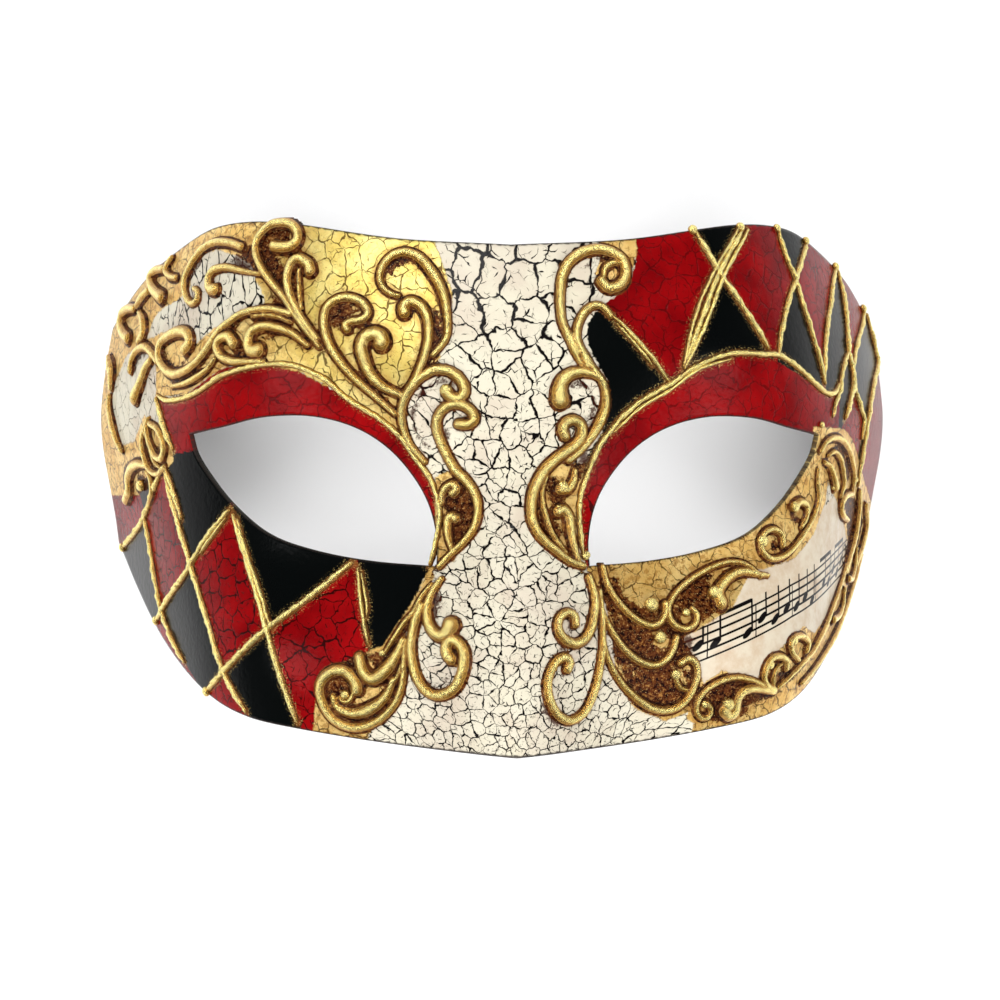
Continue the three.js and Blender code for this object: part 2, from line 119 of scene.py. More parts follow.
def face_point(u, v):
    """The outer face in millimetres. The section gives x and the drop at length |u|; the forehead and the
    cheeks slope away with the square of their height, and the nose, the eye socket and the cheekbone are
    bumps exp(-r^n) added to z."""
    length, across, drop = SECTION
    s = np.abs(u)
    up = np.maximum(v - FOREHEAD_START, 0) / SLOPE_REACH
    down = np.maximum(CHEEK_START - v, 0) / SLOPE_REACH
    narrowing = 1 - FOREHEAD_NARROWING * up**2 - CHEEK_NARROWING * down**2
    jaw_pull = JAW_PULL * smooth(JAW_PULL_START, JAW_PULL_FULL, v)
    pull = (TEMPLE_PULL + jaw_pull) * smooth(PULL_START, PULL_FULL, s)
    nose_height = NOSE_HEIGHT * smooth(NOSE_TOP, NOSE_TIP, v) ** NOSE_RISE_POWER
    nose_half = NOSE_HALF_WIDTH + NOSTRIL_WIDENING * smooth(NOSTRIL_START, NOSTRIL_FULL, v)
    x = np.interp(s, length, across) * narrowing - pull
    z = (FRONT_HEIGHT - np.interp(s, length, drop) - FOREHEAD_DROP * up**2 - CHEEK_DROP * down**2
         + nose_height * np.exp(-((s / nose_half) ** NOSE_SIDE_POWER))
         + swelling(s, v, SOCKET) + swelling(s, v, CHEEKBONE))
    return np.stack([np.sign(u) * x - CENTRE_U, v - CENTRE_V, z], -1)


def long_one(vectors):
    """The same directions, each one long."""
    return vectors / np.linalg.norm(vectors, axis=-1, keepdims=True)


def face_steps(u, v):
    """The face's small steps along u and along v."""
    along_u = face_point(u + NEAR, v) - face_point(u - NEAR, v)
    along_v = face_point(u, v + NEAR) - face_point(u, v - NEAR)
    return along_u, along_v


def face_normal(u, v):
    """The cross product of the small steps along u and v, made one long."""
    return long_one(np.cross(*face_steps(u, v)))


def lengths_along(points):
    """The length of the way to each point of a line."""
    return np.append(0, np.cumsum(np.linalg.norm(np.diff(points, axis=0), axis=1)))


def curve_through(places, step):
    """Points about a step apart on a centripetal Catmull-Rom curve: each span is a Hermite cubic whose end
    tangents weigh the neighbouring spans by the square roots of their lengths."""
    places = np.asarray(places, float)
    padded = np.vstack([2 * places[0] - places[1], places, 2 * places[-1] - places[-2]])
    gap = np.sqrt(np.linalg.norm(np.diff(padded, axis=0), axis=1))[:, None]
    p0, p1, p2, p3 = padded[:-3], padded[1:-2], padded[2:-1], padded[3:]
    g0, g1, g2 = gap[:-2], gap[1:-1], gap[2:]
    leave = ((p1 - p0) / g0 - (p2 - p0) / (g0 + g1) + (p2 - p1) / g1) * g1
    meet = ((p2 - p1) / g1 - (p3 - p1) / (g1 + g2) + (p3 - p2) / g2) * g1
    t = np.linspace(0, 1, SPAN_POINTS, endpoint=False)[None, :, None]
    fine = ((2 * t**3 - 3 * t**2 + 1) * p1[:, None] + (t**3 - 2 * t**2 + t) * leave[:, None]
            + (3 * t**2 - 2 * t**3) * p2[:, None] + (t**3 - t**2) * meet[:, None])
    fine = np.vstack([fine.reshape(-1, places.shape[1]), places[-1:]])
    run = lengths_along(fine)
    even = np.linspace(0, run[-1], max(round(run[-1] / step), 2) + 1)
    return np.stack([np.interp(even, run, column) for column in fine.T], -1)


def share_of(places, start, end, count):
    """count points evenly spread from one share of a curve towards another, which is left out."""
    fine = curve_through(places, FINE_STEP)
    at = np.linspace(start, end, count, endpoint=False) * (len(fine) - 1)
    return np.stack([np.interp(at, np.arange(len(fine)), column) for column in fine.T], -1)


def above_table(places):
    """The same places, moved in along the section where the face would be under the table: two steps of
    z divided by its slope."""
    places = places.copy()
    inwards = 0.5
    for _ in range(2):
        height = face_point(places[:, 0], places[:, 1])[:, 2]
        slope = face_point(places[:, 0] - inwards, places[:, 1])[:, 2] - height
        places[:, 0] += np.where(height < 0, height / slope * inwards, 0)
    return places


def matching_loops():
    """The loop round the eye and the loop round one half of the face, cut into matching stretches:
    forehead, temple, cheek and nose line."""
    corner_count = TEMPLE_COUNT // 2
    eye = [share_of(UPPER_LID, UPPER_NEAR_NOSE, UPPER_NEAR_TEMPLE, LONG_COUNT),
           share_of(UPPER_LID, UPPER_NEAR_TEMPLE, 1, corner_count),
           share_of(LOWER_LID, 0, LOWER_NEAR_TEMPLE, corner_count),
           share_of(LOWER_LID, LOWER_NEAR_TEMPLE, LOWER_NEAR_NOSE, LONG_COUNT),
           share_of(LOWER_LID, LOWER_NEAR_NOSE, 1, LOWER_NOSE_COUNT),
           share_of(UPPER_LID, 0, UPPER_NEAR_NOSE, NOSE_COUNT - LOWER_NOSE_COUNT)]
    edge = [share_of(FOREHEAD_EDGE, 0, 1, LONG_COUNT), share_of(TEMPLE_EDGE, 0, 1, TEMPLE_COUNT),
            share_of(CHEEK_EDGE, 0, 1, LONG_COUNT), share_of(NOSE_LINE, 0, 1, NOSE_COUNT)]
    return np.vstack(eye), above_table(np.vstack(edge))


def rim_arc(loop, away, side, wall, bulge):
    """Points on a half round between the outer and the inner face: from the middle of the wall, cosine
    times half the wall along the normal and sine times the bulge away from the paper."""
    u, v = side * loop[:, 0], loop[:, 1]
    along_u, along_v = face_steps(u, v)
    outwards = long_one(side * away[:, :1] * along_u + away[:, 1:] * along_v)
    normal = face_normal(u, v)
    middle = face_point(u, v) - wall / 2 * normal
    angle = np.pi * np.arange(1, RIM_STEPS)[:, None, None] / RIM_STEPS
    return middle + wall / 2 * np.cos(angle) * normal + bulge * np.sin(angle) * outwards


def left_of_heading(loop):
    """The direction to the left of a closed loop at each of its points, one long."""
    heading = long_one(np.roll(loop, -1, axis=0) - np.roll(loop, 1, axis=0))
    return np.stack([-heading[:, 1], heading[:, 0]], -1)


def half_shell(side):
    """One half of the shell as rows of points: outer face from the eye to the edge, rim, inner face back
    to the eye and the eye's rim. With the points come their unrolled places."""
    eye, edge = matching_loops()
    on_seam = edge[:, 0] < TINY
    edge_away = left_of_heading(edge)
    edge_away[on_seam] = np.stack([np.zeros(on_seam.sum()), np.sign(edge[on_seam, 1])], -1)

    def face_rows(count, wall):
        share = np.linspace(0, 1, count + 1)[:, None, None]
        places = eye * (1 - share) + edge * share
        u = np.where(places[..., 0] < TINY, 0, side * places[..., 0])
        from_eye = np.linalg.norm(places - eye, axis=-1, keepdims=True)
        inward = wall * (EYE_WALL + (1 - EYE_WALL) * smooth(0, EYE_THINNING, from_eye))
        points = face_point(u, places[..., 1]) - inward * face_normal(u, places[..., 1])
        return points, np.stack([u, places[..., 1]], -1)

    outer, outer_places = face_rows(OUTER_RINGS, 0)
    inner, inner_places = face_rows(INNER_RINGS, WALL)
    edge_rim = rim_arc(edge, edge_away, side, WALL, RIM_BULGE)
    eye_rim = rim_arc(eye, -left_of_heading(eye), side, WALL * EYE_WALL, RIM_BULGE * EYE_WALL)
    points = np.concatenate([outer, edge_rim, inner[::-1], eye_rim[::-1]])
    edge_places = np.repeat(outer_places[-1:], RIM_STEPS - 1, axis=0)
    eye_places = np.repeat(outer_places[:1], RIM_STEPS - 1, axis=0)
    places = np.concatenate([outer_places, edge_places, inner_places[::-1], eye_places])
    points[places[..., 0] == 0, 0] = -CENTRE_U
    return points, places


def shell_mesh():
    """Both halves, welded on the nose line: points, unrolled places, which points and which faces are on the
    painted outside, and faces. Quads join each row to the next, round and round, but no rim runs along the
    nose line."""
    halves = [half_shell(1), half_shell(-1)]
    rows, columns = halves[0][0].shape[:2]
    number = np.arange(rows * columns).reshape(rows, columns)
    on_seam = halves[0][1][..., 0] == 0
    left = np.where(on_seam, number, number + rows * columns)
    row, column = np.meshgrid(np.arange(rows), np.arange(columns), indexing="ij")
    seam_edge = on_seam[OUTER_RINGS] & np.roll(on_seam[OUTER_RINGS], -1)
    kept = ~((row >= OUTER_RINGS) & (row < OUTER_RINGS + RIM_STEPS) & seam_edge[column])
    faces, painted = [], []
    for side, grid in ((1, number), (-1, left)):
        below, beside = np.roll(grid, -1, axis=0), np.roll(grid, -1, axis=1)
        corner = np.roll(below, -1, axis=1)
        quads = np.stack([grid, below, corner, beside], -1)
        faces.append((quads if side < 0 else quads[..., ::-1])[kept])
        painted.append(((row < OUTER_RINGS) | (row > rows - RIM_STEPS))[kept])
    points = np.concatenate([half[0].reshape(-1, 3) for half in halves])
    places = np.concatenate([half[1].reshape(-1, 2) for half in halves])
    outer = np.tile(((row <= OUTER_RINGS) | (row > rows - RIM_STEPS)).ravel(), 2)
    faces = np.concatenate(faces)
    used, faces = np.unique(faces, return_inverse=True)
    return points[used], places[used], outer[used], faces.reshape(-1, 4), np.concatenate(painted)


def mesh_piece(name, points, faces):
    """A smooth mesh piece at the origin, from points in millimetres and faces as rows of corners. Points
    below the table are lifted to it."""
    points[:, 2] = np.maximum(points[:, 2], 0)
    mesh = bpy.data.meshes.new(name)
    mesh.from_pydata((points / 1000).tolist(), [], faces)
    mesh.shade_smooth()
    piece = bpy.data.objects.new(name, mesh)
    bpy.context.scene.collection.objects.link(piece)
    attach(piece, "root")
    return piece


def point_values(piece, name, values):
    """Keeps one number, or one vector, for each point of the piece."""
    kind = "FLOAT" if values.ndim == 1 else "FLOAT_VECTOR"
    field = piece.data.attributes.new(name, kind, "POINT")
    field.data.foreach_set("value" if values.ndim == 1 else "vector", values.astype(np.float32).ravel())


def feed(tree, socket, value):
    """Links a socket into another, or sets a plain value on it."""
    if isinstance(value, bpy.types.NodeSocket):
        tree.links.new(value, socket)
    else:
        socket.default_value = value


def put(tree, kind, inputs=None, **settings):
    """A node of a kind, with its settings and what feeds its inputs by name or number."""
    made = tree.nodes.new("ShaderNode" + kind)
    for name, value in settings.items():
        setattr(made, name, value)
    for name, value in (inputs or {}).items():
        feed(tree, made.inputs[name], value)
    return made


def calc(tree, operation, *terms):
    """The result of a Math node."""
    return put(tree, "Math", dict(enumerate(terms)), operation=operation).outputs[0]


def vector(tree, operation, first, second):
    """The vector from a Vector Math node: two vectors, or a vector and a scale."""
    second_input = "Scale" if operation == "SCALE" else 1
    return put(tree, "VectorMath", {0: first, second_input: second}, operation=operation).outputs[0]


def ramp(tree, value, low, high, start=0.0, end=1.0):
    """start below low, end above high, and a smooth step between them."""
    sockets = {"Value": value, "From Min": low, "From Max": high, "To Min": start, "To Max": end}
    return put(tree, "MapRange", sockets, interpolation_type="SMOOTHSTEP").outputs[0]


def blend(tree, share, first, second):
    """Two colours mixed by a share."""
    return put(tree, "Mix", {0: share, 6: first, 7: second}, data_type="RGBA").outputs[2]


def blend_value(tree, share, first, second):
    """Two values mixed by a share."""
    return put(tree, "Mix", {0: share, 2: first, 3: second}).outputs[0]


def grain(tree, place, scale, detail=3.0, roughness=0.55):
    """Noise from 0 to 1 at so many waves for each unit of the place."""
    sockets = {"Vector": place, "Scale": scale, "Detail": detail, "Roughness": roughness}
    return put(tree, "TexNoise", sockets).outputs["Fac"]


def body_place(tree):
    """Object coordinates in millimetres."""
    return vector(tree, "SCALE", put(tree, "TexCoord").outputs["Object"], 1000.0)


def new_finish(name):
    """An empty material with its Principled shader."""
    finish = bpy.data.materials.new(name)
    finish.use_nodes = True
    return finish, finish.node_tree, finish.node_tree.nodes["Principled BSDF"]


def dress(tree, shader, inputs, height, strength, depth=0.0002):
    """Feeds the shader's inputs, and bends its normal by a height."""
    for name, value in inputs.items():
        feed(tree, shader.inputs[name], value)
    bump = put(tree, "Bump", {"Height": height, "Strength": strength, "Distance": depth})
    feed(tree, shader.inputs["Normal"], bump.outputs[0])


def dark_paper():
    """Bare papier-mache under thin black-brown paint: uneven tone, fibres and small dents."""
    finish, tree, shader = new_finish("dark_paper")
    place = body_place(tree)
    fibres = grain(tree, place, 0.9, 6.0, 0.7)
    tone = ramp(tree, grain(tree, place, 0.12), 0.3, 0.7)
    dress(tree, shader, {"Base Color": blend(tree, tone, PAPER_DARK, PAPER_BROWN),
                         "Roughness": ramp(tree, fibres, 0.2, 0.8, 0.55, 0.8)}, fibres, 0.5, 0.0004)
    return finish


shell_points, shell_places, on_outer_face, shell_faces, is_painted = shell_mesh()
shell = mesh_piece("mask_shell", shell_points, shell_faces.tolist())
unrolled = shell.data.uv_layers.new(name="unrolled")
unrolled.data.foreach_set("uv", shell_places[shell_faces.ravel()].astype(np.float32).ravel())
shell.data.polygons.foreach_set("material_index", (~is_painted).astype(np.int32))
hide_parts("half_mask")

# The scrolls
# Beads and leaves of stucco paste, piped on the shell from a bag and pressed on while soft, so that they run
# into one another. The left and the right half of the face carry a body of paste each.
SCROLL_RISE = 1.2
SCROLL_STEP = 0.33
GRID_U, GRID_V = (-132, 126), (-50, 62)
ROUTE_STEP = 0.4
MERGE = 7
PASTE_DEPTH = 0.6
PASTE_FLOOR = -0.5
PASTE_EDGE = 0.15
GAP_LIMIT = 4.0
# how far a stroke's field is worked out: past its course, and past that for each of its half widths
REACH, REACH_FOR_WIDTH = 2.2, 1.7
# shares of a stroke's length at its tail, its middle, its neck and its head
WIDTH_AT = [0, 0.45, 0.8, 1]
# distance from the middle in half widths, and rise in heights
SECTION_ACROSS = [0, 0.2, 0.45, 0.68, 0.86, 1.0, 1.15, 1.4]
SECTION_RISE = [1.0, 0.98, 0.88, 0.68, 0.42, 0.1, -0.15, -0.4]
LUMP_WAVES, LUMP_LENGTHS, LUMP_SHARE, LUMP_SEED = 12, (0.9, 3.5), 0.05, 5
# how far the paste's height is blurred for the painted shade where scrolls crowd, and for the creases
ENCLOSED_SHADE_REACH, CREASE_REACH = 2.4, 1.0
CREASE_FLOOR, CREASE_DEPTH = -0.2, 0.22
# each stroke: half width at its middle in mm, the shares of it at its tail and its head, and its course
SCROLLS = [
    # forehead, left of the nose
    (0.99, 0.6, 1.45, [(-38.2, 29.9), (-41.1, 33.1), (-44.1, 36.7), (-46.4, 39.7), (-49.8, 43.1),
     (-52.6, 46.1), (-54.5, 49.3), (-54.7, 51.6), (-53.4, 53.5), (-51.3, 54.9), (-48.6, 55.2), (-46.2, 54.6),
     (-44.7, 53), (-44.6, 51.2), (-45.9, 50.2), (-48.2, 50.1), (-49.9, 50.4)]),
    (1.04, 0.6, 1.35, [(-38.7, 31.5), (-40.9, 34), (-43.1, 36.8), (-44.8, 39.7), (-45.9, 42.5), (-46, 45.1),
     (-45.3, 46.9), (-44, 47.6), (-42.6, 47.1), (-41.4, 46.2), (-41, 45)]),
    (0.61, 0.6, 0.6, [(-42.4, 37.4), (-43, 40), (-43.4, 43), (-43.7, 45.4)]),
    (1.1, 0.9, 0.7, [(-58.8, 50.8), (-62.8, 52), (-67.9, 52.5), (-71.7, 51.8), (-74.7, 50.3), (-77.2, 48.1),
     (-78.8, 45.7), (-78.3, 43.4), (-76.5, 41.1), (-74, 40.1), (-72, 40.8), (-72.2, 42.3), (-73.9, 43.2)]),
    (0.94, 0.5, 1.7, [(-53, 44.9), (-55.7, 45.4), (-58.6, 46), (-61.7, 46.7), (-64.7, 46.9), (-67.5, 46.3),
     (-68.4, 44.7), (-67.4, 42.7), (-65.5, 42.4)]),
    (1.26, 0.55, 0.45, [(-15.5, 28.1), (-13, 31.4), (-12.9, 36.1), (-13.9, 40.6), (-16.2, 44.6),
     (-19.1, 47.6), (-21.9, 48.4), (-24.3, 47.6), (-26, 45.6), (-26.5, 43.3), (-25.7, 41.3), (-24, 40.1),
     (-22.6, 39.7)]),
    (1.04, 0.8, 1.35, [(-21.1, 19.9), (-19.6, 22.3), (-18.3, 24.9), (-17.2, 27.9), (-16.5, 31.4),
     (-16.8, 35.3), (-18.2, 37.7), (-20.2, 38.5), (-21.5, 37.5), (-21.3, 36.3)]),
    (1.04, 0.6, 0.9, [(-22.8, 16.8), (-26.6, 20.1), (-30.2, 23.2), (-33.5, 26.6), (-36.2, 30.5),
     (-37.4, 34.3), (-37, 37.5), (-34.8, 39.2), (-32.2, 39.4), (-29.5, 38.1), (-28.6, 36.2), (-29.8, 35),
     (-32.2, 34.6), (-33.1, 33.9), (-32.5, 33.1)]),
    (1.32, 0.6, 1.5, [(-21.5, 20.4), (-25.1, 22), (-27.7, 24.5), (-29.1, 27.5), (-29.6, 29.8), (-28.9, 31.5),
     (-27.3, 32.2), (-25.9, 31.5), (-25.7, 30.5)]),
    # left brow and temple
    (1.16, 0.7, 1.4, [(-44.6, 36.5), (-49.2, 37.6), (-52.9, 37.6), (-56.7, 37), (-60, 35.5), (-63.1, 33.7),
     (-65.2, 31.6), (-67.3, 29.7), (-70.1, 27.8), (-74.7, 26.2), (-79.7, 25.8), (-84.9, 27.5), (-87.6, 30.1),
     (-87.1, 32.6), (-83.3, 34), (-78.5, 34.6), (-74.3, 33.7), (-73.1, 32), (-75, 30.7)]),
    (1.04, 0.6, 1.7, [(-40.7, 30.2), (-43.9, 32.5), (-47.5, 33.8), (-50.8, 34.2), (-53.5, 33.3),
     (-54.3, 31.3), (-53.4, 29.5), (-51.7, 29.5)]),
    (0.99, 0.6, 1.5, [(-50.4, 27.3), (-54.6, 27.4), (-58.6, 27.6), (-62, 28.8), (-63.4, 30.7), (-62.3, 32.2),
     (-59.9, 32.5), (-58.3, 31.1)]),
    (0.55, 0.6, 0.6, [(-44.7, 34.9), (-47.9, 36.1), (-51, 36.5), (-54, 36.3)]),
    (0.88, 0.6, 0.6, [(-63.8, 28.3), (-65.9, 26.4), (-69.7, 24.8), (-74.4, 23.7), (-80.3, 23.3)]),
    (0.99, 0.8, 0.9, [(-87.7, 51), (-89.4, 49.8), (-89.9, 48.4), (-87, 46.8), (-83.6, 46.3)]),
    (1.38, 0.8, 1.3, [(-91.3, 48.9), (-96.2, 48.9), (-98.8, 47.8), (-97.1, 45.7), (-93.8, 43.9),
     (-89.7, 42.5)]),
    (1.43, 0.7, 0.7, [(-98.6, 44.7), (-102, 43.5), (-104.7, 41.9)]),
    (1.54, 0.8, 1.1, [(-106.6, 41.4), (-112.1, 41.6), (-115.6, 40.5), (-115.1, 38.3), (-111.5, 36),
     (-108, 34.9)]),
    (1.32, 0.6, 0.9, [(-102.5, 40.2), (-98.8, 37.8), (-97.9, 35.4), (-99.9, 33.8)]),
    (1.21, 0.8, 0.8, [(-88.4, 28.9), (-91.6, 30.7), (-95.6, 32.2), (-99.4, 32.2), (-102.3, 31.1),
     (-103.8, 29.3), (-104, 27.5)]),
    (1.43, 0.8, 1.5, [(-91.8, 29.3), (-93.9, 28.1), (-95.3, 26.5), (-96.7, 24.6), (-98.3, 23),
     (-99.3, 21.8)]),
    (1.87, 0.5, 0.5, [(-122.3, 31.6), (-119.5, 29.4), (-117.8, 27.4), (-117.7, 24.5)]),
    (1.43, 0.5, 0.5, [(-118.9, 22.8), (-117.5, 19.3), (-115.3, 16), (-113.1, 12.9), (-110.9, 10.7)]),
    (0.99, 0.9, 0.9, [(-90.8, 15.9), (-87, 14.7), (-84.6, 12.8), (-83.9, 10.6), (-85.8, 8.6), (-89, 9.2),
     (-90.9, 11.1), (-92.2, 13.2), (-92.5, 15.3)]),
    (0.77, 0.6, 0.6, [(-91.8, 17.2), (-93.8, 14.7), (-93, 12.6)]),
    (0.88, 0.8, 0.8, [(-94.4, 14.7), (-96, 12.7), (-96.1, 10.2), (-94.9, 7.9), (-92.4, 6), (-88.3, 5.5),
     (-84.6, 6.9)]),
    (0.66, 0.6, 0.6, [(-91.8, 10.1), (-89.9, 8.2), (-87.4, 6.7)]),
    (1.43, 0.6, 1, [(-94.5, 7.2), (-99.7, 7.7), (-105.3, 6.8), (-108.6, 4.5), (-109.6, 2.3), (-113.7, 0.1)]),
    (0.88, 0.8, 0.8, [(-95, 6), (-93, 4.3), (-93.3, 1.8), (-96.3, -0.5)]),
    # beside the nose, left of it
    (1.1, 0.6, 1.25, [(-16.9, 7.4), (-19.5, 10.4), (-20.8, 13.1), (-21.5, 16), (-21.3, 18.5), (-20.4, 20.8),
     (-18.9, 22.8), (-17, 24.3), (-14.9, 25.2), (-12.7, 25), (-10.8, 23.9), (-9.6, 22.3), (-9.4, 20.8),
     (-10.3, 19.7), (-11.9, 19.9), (-12.7, 20.8)]),
    (1.1, 0.6, 1.1, [(-14.2, -12.9), (-12.6, -11.2), (-10.9, -9.6), (-9.4, -8.1), (-7.8, -6), (-6.9, -3.7),
     (-6.7, -1.3), (-7.2, 1), (-8.8, 3.6), (-10.9, 5.8), (-12.4, 8.3), (-13.8, 11.3), (-14.6, 13.6),
     (-14.5, 15.9), (-13.4, 17.6), (-11.6, 18.5), (-9.7, 18.3), (-8, 17.1), (-7.4, 15.6), (-8.5, 14.6),
     (-10.4, 14.7)]),
    (0.83, 0.6, 1.4, [(-11.6, -10), (-12.2, -8.1), (-12.5, -6), (-12.4, -4), (-11.8, -3.2), (-11, -3.6)]),
    (0.88, 0.7, 1.2, [(-13.7, -0.7), (-13.5, 1.1), (-12.8, 2.4), (-11.4, 3), (-10.7, 2), (-11.4, 1.3)]),
    # left cheek
    (1.04, 0.6, 1.4, [(-20.8, -27.1), (-21.2, -29.8), (-21.4, -33), (-21.8, -35.4), (-22.7, -37.9),
     (-24.2, -40.1), (-26.3, -42), (-29, -43.4), (-31.7, -43.9), (-34.2, -43.4), (-36.2, -42.2),
     (-37.5, -40.5), (-38.3, -38.6), (-38.6, -36.6), (-38, -34.9), (-36.7, -33.6), (-35, -32.9),
     (-33.2, -33), (-31.8, -34.1), (-31, -35.4), (-30.9, -36.5)]),
    (1.43, 0.5, 0.5, [(-23.6, -34.5), (-24.5, -36.8), (-26.1, -38.7), (-28.6, -40.3), (-31.5, -41.1),
     (-34, -40.6), (-35.4, -39.5), (-35.9, -37.9)]),
    (0.66, 0.6, 0.6, [(-31.7, -37.1), (-32.4, -38.5), (-33.7, -38.9), (-34.7, -38.1)]),
    (1.54, 0.55, 0.8, [(-21.4, -27), (-22.5, -29.4), (-24.1, -31.7), (-26, -33.6), (-27.8, -34.4),
     (-29.2, -33.5), (-29.9, -31.8), (-30.1, -30.3)]),
    (0.55, 0.6, 0.6, [(-21.5, -30.7), (-22.3, -33), (-23.4, -34.9), (-24.6, -36.4)]),
    (1.16, 0.9, 1.2, [(-17.6, -20.5), (-18.8, -23), (-19.5, -25.6), (-19.9, -28.4), (-19.6, -31.2),
     (-18.8, -34), (-17.3, -36.2), (-15.3, -37.2), (-13.2, -36.8), (-11.4, -35.5), (-10.3, -33.4),
     (-9.7, -31.1), (-9.7, -28.9), (-10.6, -27.3), (-11.9, -26.7), (-12.8, -27.7), (-12.9, -29.2),
     (-12.1, -30.3)]),
    (1.04, 0.6, 1.8, [(-13.8, -15.2), (-15.4, -17.5), (-16.4, -20), (-16.6, -22.4), (-15.9, -24.6),
     (-14.5, -25.9), (-13, -25.6), (-12, -23.9)]),
    (0.66, 0.6, 0.6, [(-15.7, -16.2), (-17.1, -17.9), (-18.3, -19.8), (-19.3, -21.7), (-21.1, -23.6),
     (-22.6, -25.7), (-23.8, -27.4), (-25, -29.3)]),
    # forehead, right of the nose
    (1.26, 0.75, 1.1, [(12.7, 28.6), (11.1, 31.7), (9.9, 34.6), (9.6, 37.7), (9.7, 40.7), (10.2, 43.7),
     (11.4, 46.1), (13.3, 47.8), (15.8, 48.9), (18.5, 49.1), (20.9, 48.4), (22.7, 47), (23.2, 44.8),
     (22.6, 42.8), (21.1, 41.6), (19.3, 41.4), (18.1, 42.6)]),
    (0.88, 0.6, 0.6, [(22, 46.4), (20.4, 46.4), (18.9, 45.2), (18.6, 43.4)]),
    (1.04, 0.9, 0.8, [(14.6, 26.1), (13.7, 28.6), (12.8, 30.9), (12.7, 32.8), (13.3, 34.8), (14.4, 36.6),
     (15.8, 37.7), (17.5, 37.9), (18.8, 37), (19.6, 35.9)]),
    (0.99, 0.6, 0.6, [(11.5, 32.2), (13.2, 29.9), (14.5, 27.6), (15.8, 25.5), (17.3, 23.7), (18.1, 22.5)]),
    (0.77, 0.6, 0.6, [(10.5, 31.9), (11.6, 29.7), (12.7, 27.6), (13.7, 25.7)]),
    # right of the nose
    (1.32, 0.6, 1.6, [(17.7, 23.1), (15.8, 24.4), (13.4, 24.8), (11.3, 24.4), (9.7, 23.1), (9, 21.2),
     (9.1, 19.3)]),
    (1.21, 0.7, 0.7, [(17.3, 23.3), (18.1, 21), (18.1, 18.5), (17.3, 16), (16, 13.5), (14.4, 11.3),
     (12.6, 9.3), (10.8, 7.7)]),
    (1.26, 0.6, 1, [(13.4, -12.8), (11.4, -12.2), (9.4, -11), (7.4, -9.4), (5.7, -7.9), (4.2, -6),
     (3.3, -3.7), (3.2, -1.2), (3.6, 1.4), (4.6, 3.7), (6, 5.9), (7.8, 7.7), (10, 9.3), (12.2, 10.9),
     (13.4, 12.9), (13.2, 14.6), (11.9, 15.5), (10.3, 15.1), (9.5, 13.7), (10, 12.4)]),
    (0.66, 0.6, 0.6, [(6.4, 4.5), (5.5, 1.8), (5.5, -0.8), (6.2, -3.7), (7.1, -6.2), (8.5, -8.3),
     (10, -10.2)]),
    (0.99, 0.6, 1.3, [(12, 5.8), (11.5, 3.4), (10.3, 2), (8.9, 2)]),
    (0.99, 0.6, 1.3, [(12.4, -11.8), (11.5, -8.9), (10.9, -6), (10.6, -3.3), (9.4, -1.9), (8.4, -2.3)]),
    # right cheek
    (1.15, 0.7, 0.8, [(14.4, -14.9), (15.2, -17.2), (15.6, -19.8), (15.3, -22.4), (14.7, -24.6),
     (13.5, -26.5), (11.7, -27.4), (9.9, -26.9), (8.5, -25.6), (8, -23.9), (8.6, -22.2), (10, -21.5),
     (11.4, -22.3), (11.6, -23.8)]),
    (1, 0.6, 1.1, [(16.6, -17.6), (16.9, -21.3), (17.1, -25.1), (17.1, -28.5), (16.7, -31.5), (16.1, -34.5),
     (15.2, -37.2), (14, -39.6), (12.4, -41.2), (10.3, -41.8), (8.2, -40.8), (6.8, -38.9), (6, -36.6),
     (5.9, -34.4), (6.5, -32.4), (7.7, -30.6), (9.3, -29.9), (10.3, -30.9), (9.9, -32.1)]),
    (0.8, 0.8, 1, [(17.3, -13), (17.8, -15.3), (18.8, -17.6), (20.4, -19.9), (22.7, -22.2), (25.2, -23.8),
     (27.5, -24.5), (29.1, -23.7), (30, -22), (30, -20.3)]),
    (0.85, 0.6, 1, [(16.9, -20.6), (17.9, -23.2), (19.2, -25.5), (20.8, -27.8), (22.9, -29.9), (25.5, -31.5),
     (28, -32), (30.3, -31), (31.7, -29), (32.3, -26.9)]),
    (0.95, 0.6, 0.9, [(17.3, -27), (18.1, -30), (19.6, -33.1), (21.8, -36), (24.4, -38.3), (27.3, -40.1),
     (30.3, -40.8), (33.1, -40.3), (35.1, -38.8), (36.5, -36.3), (37.1, -33.8), (36.5, -31.7), (34.9, -30.9),
     (33.4, -31.7)]),
    (0.7, 0.6, 0.6, [(35, -36.9), (33.5, -36.4), (32.7, -34.9), (32.5, -33.5)]),
    (0.75, 0.7, 1, [(51.9, -15.4), (49.8, -13.7), (47.4, -12.6), (44.5, -12.3), (41.5, -12.9), (38.6, -14),
     (36, -15.4), (33.6, -17.1), (31.7, -19), (30.7, -21.1), (31, -23.2), (32.5, -24.7), (34.6, -25.2),
     (36.3, -24.2), (36.7, -22.5), (35.7, -21.4)]),
    (1.1, 0.5, 1.5, [(54.1, -15.2), (50.6, -14.8), (47.3, -14.3), (44.5, -15.1), (42.6, -16.6),
     (41.4, -18.4), (42, -20.4)]),
    (0.8, 0.6, 1, [(72.9, 6.3), (72.8, 3.6), (73.6, 0.6), (72.3, -2.3), (69.3, -5), (65.7, -7.6),
     (62.1, -10), (58.2, -11.6), (54.8, -11.8), (52.5, -10.3), (52, -8.3), (53.4, -6.5), (56, -5.9),
     (58.3, -7.1), (58.6, -9.2)]),
    (0.9, 0.6, 1.4, [(65.7, -5.6), (67.9, -3.3), (67.8, -1.2), (65.2, -0.4), (62.9, -1.2)]),
    (0.75, 0.9, 0.9, [(55, -38), (52.4, -36.3), (49.3, -35.3), (46.1, -34.8), (43.1, -35.2), (40.6, -36.2),
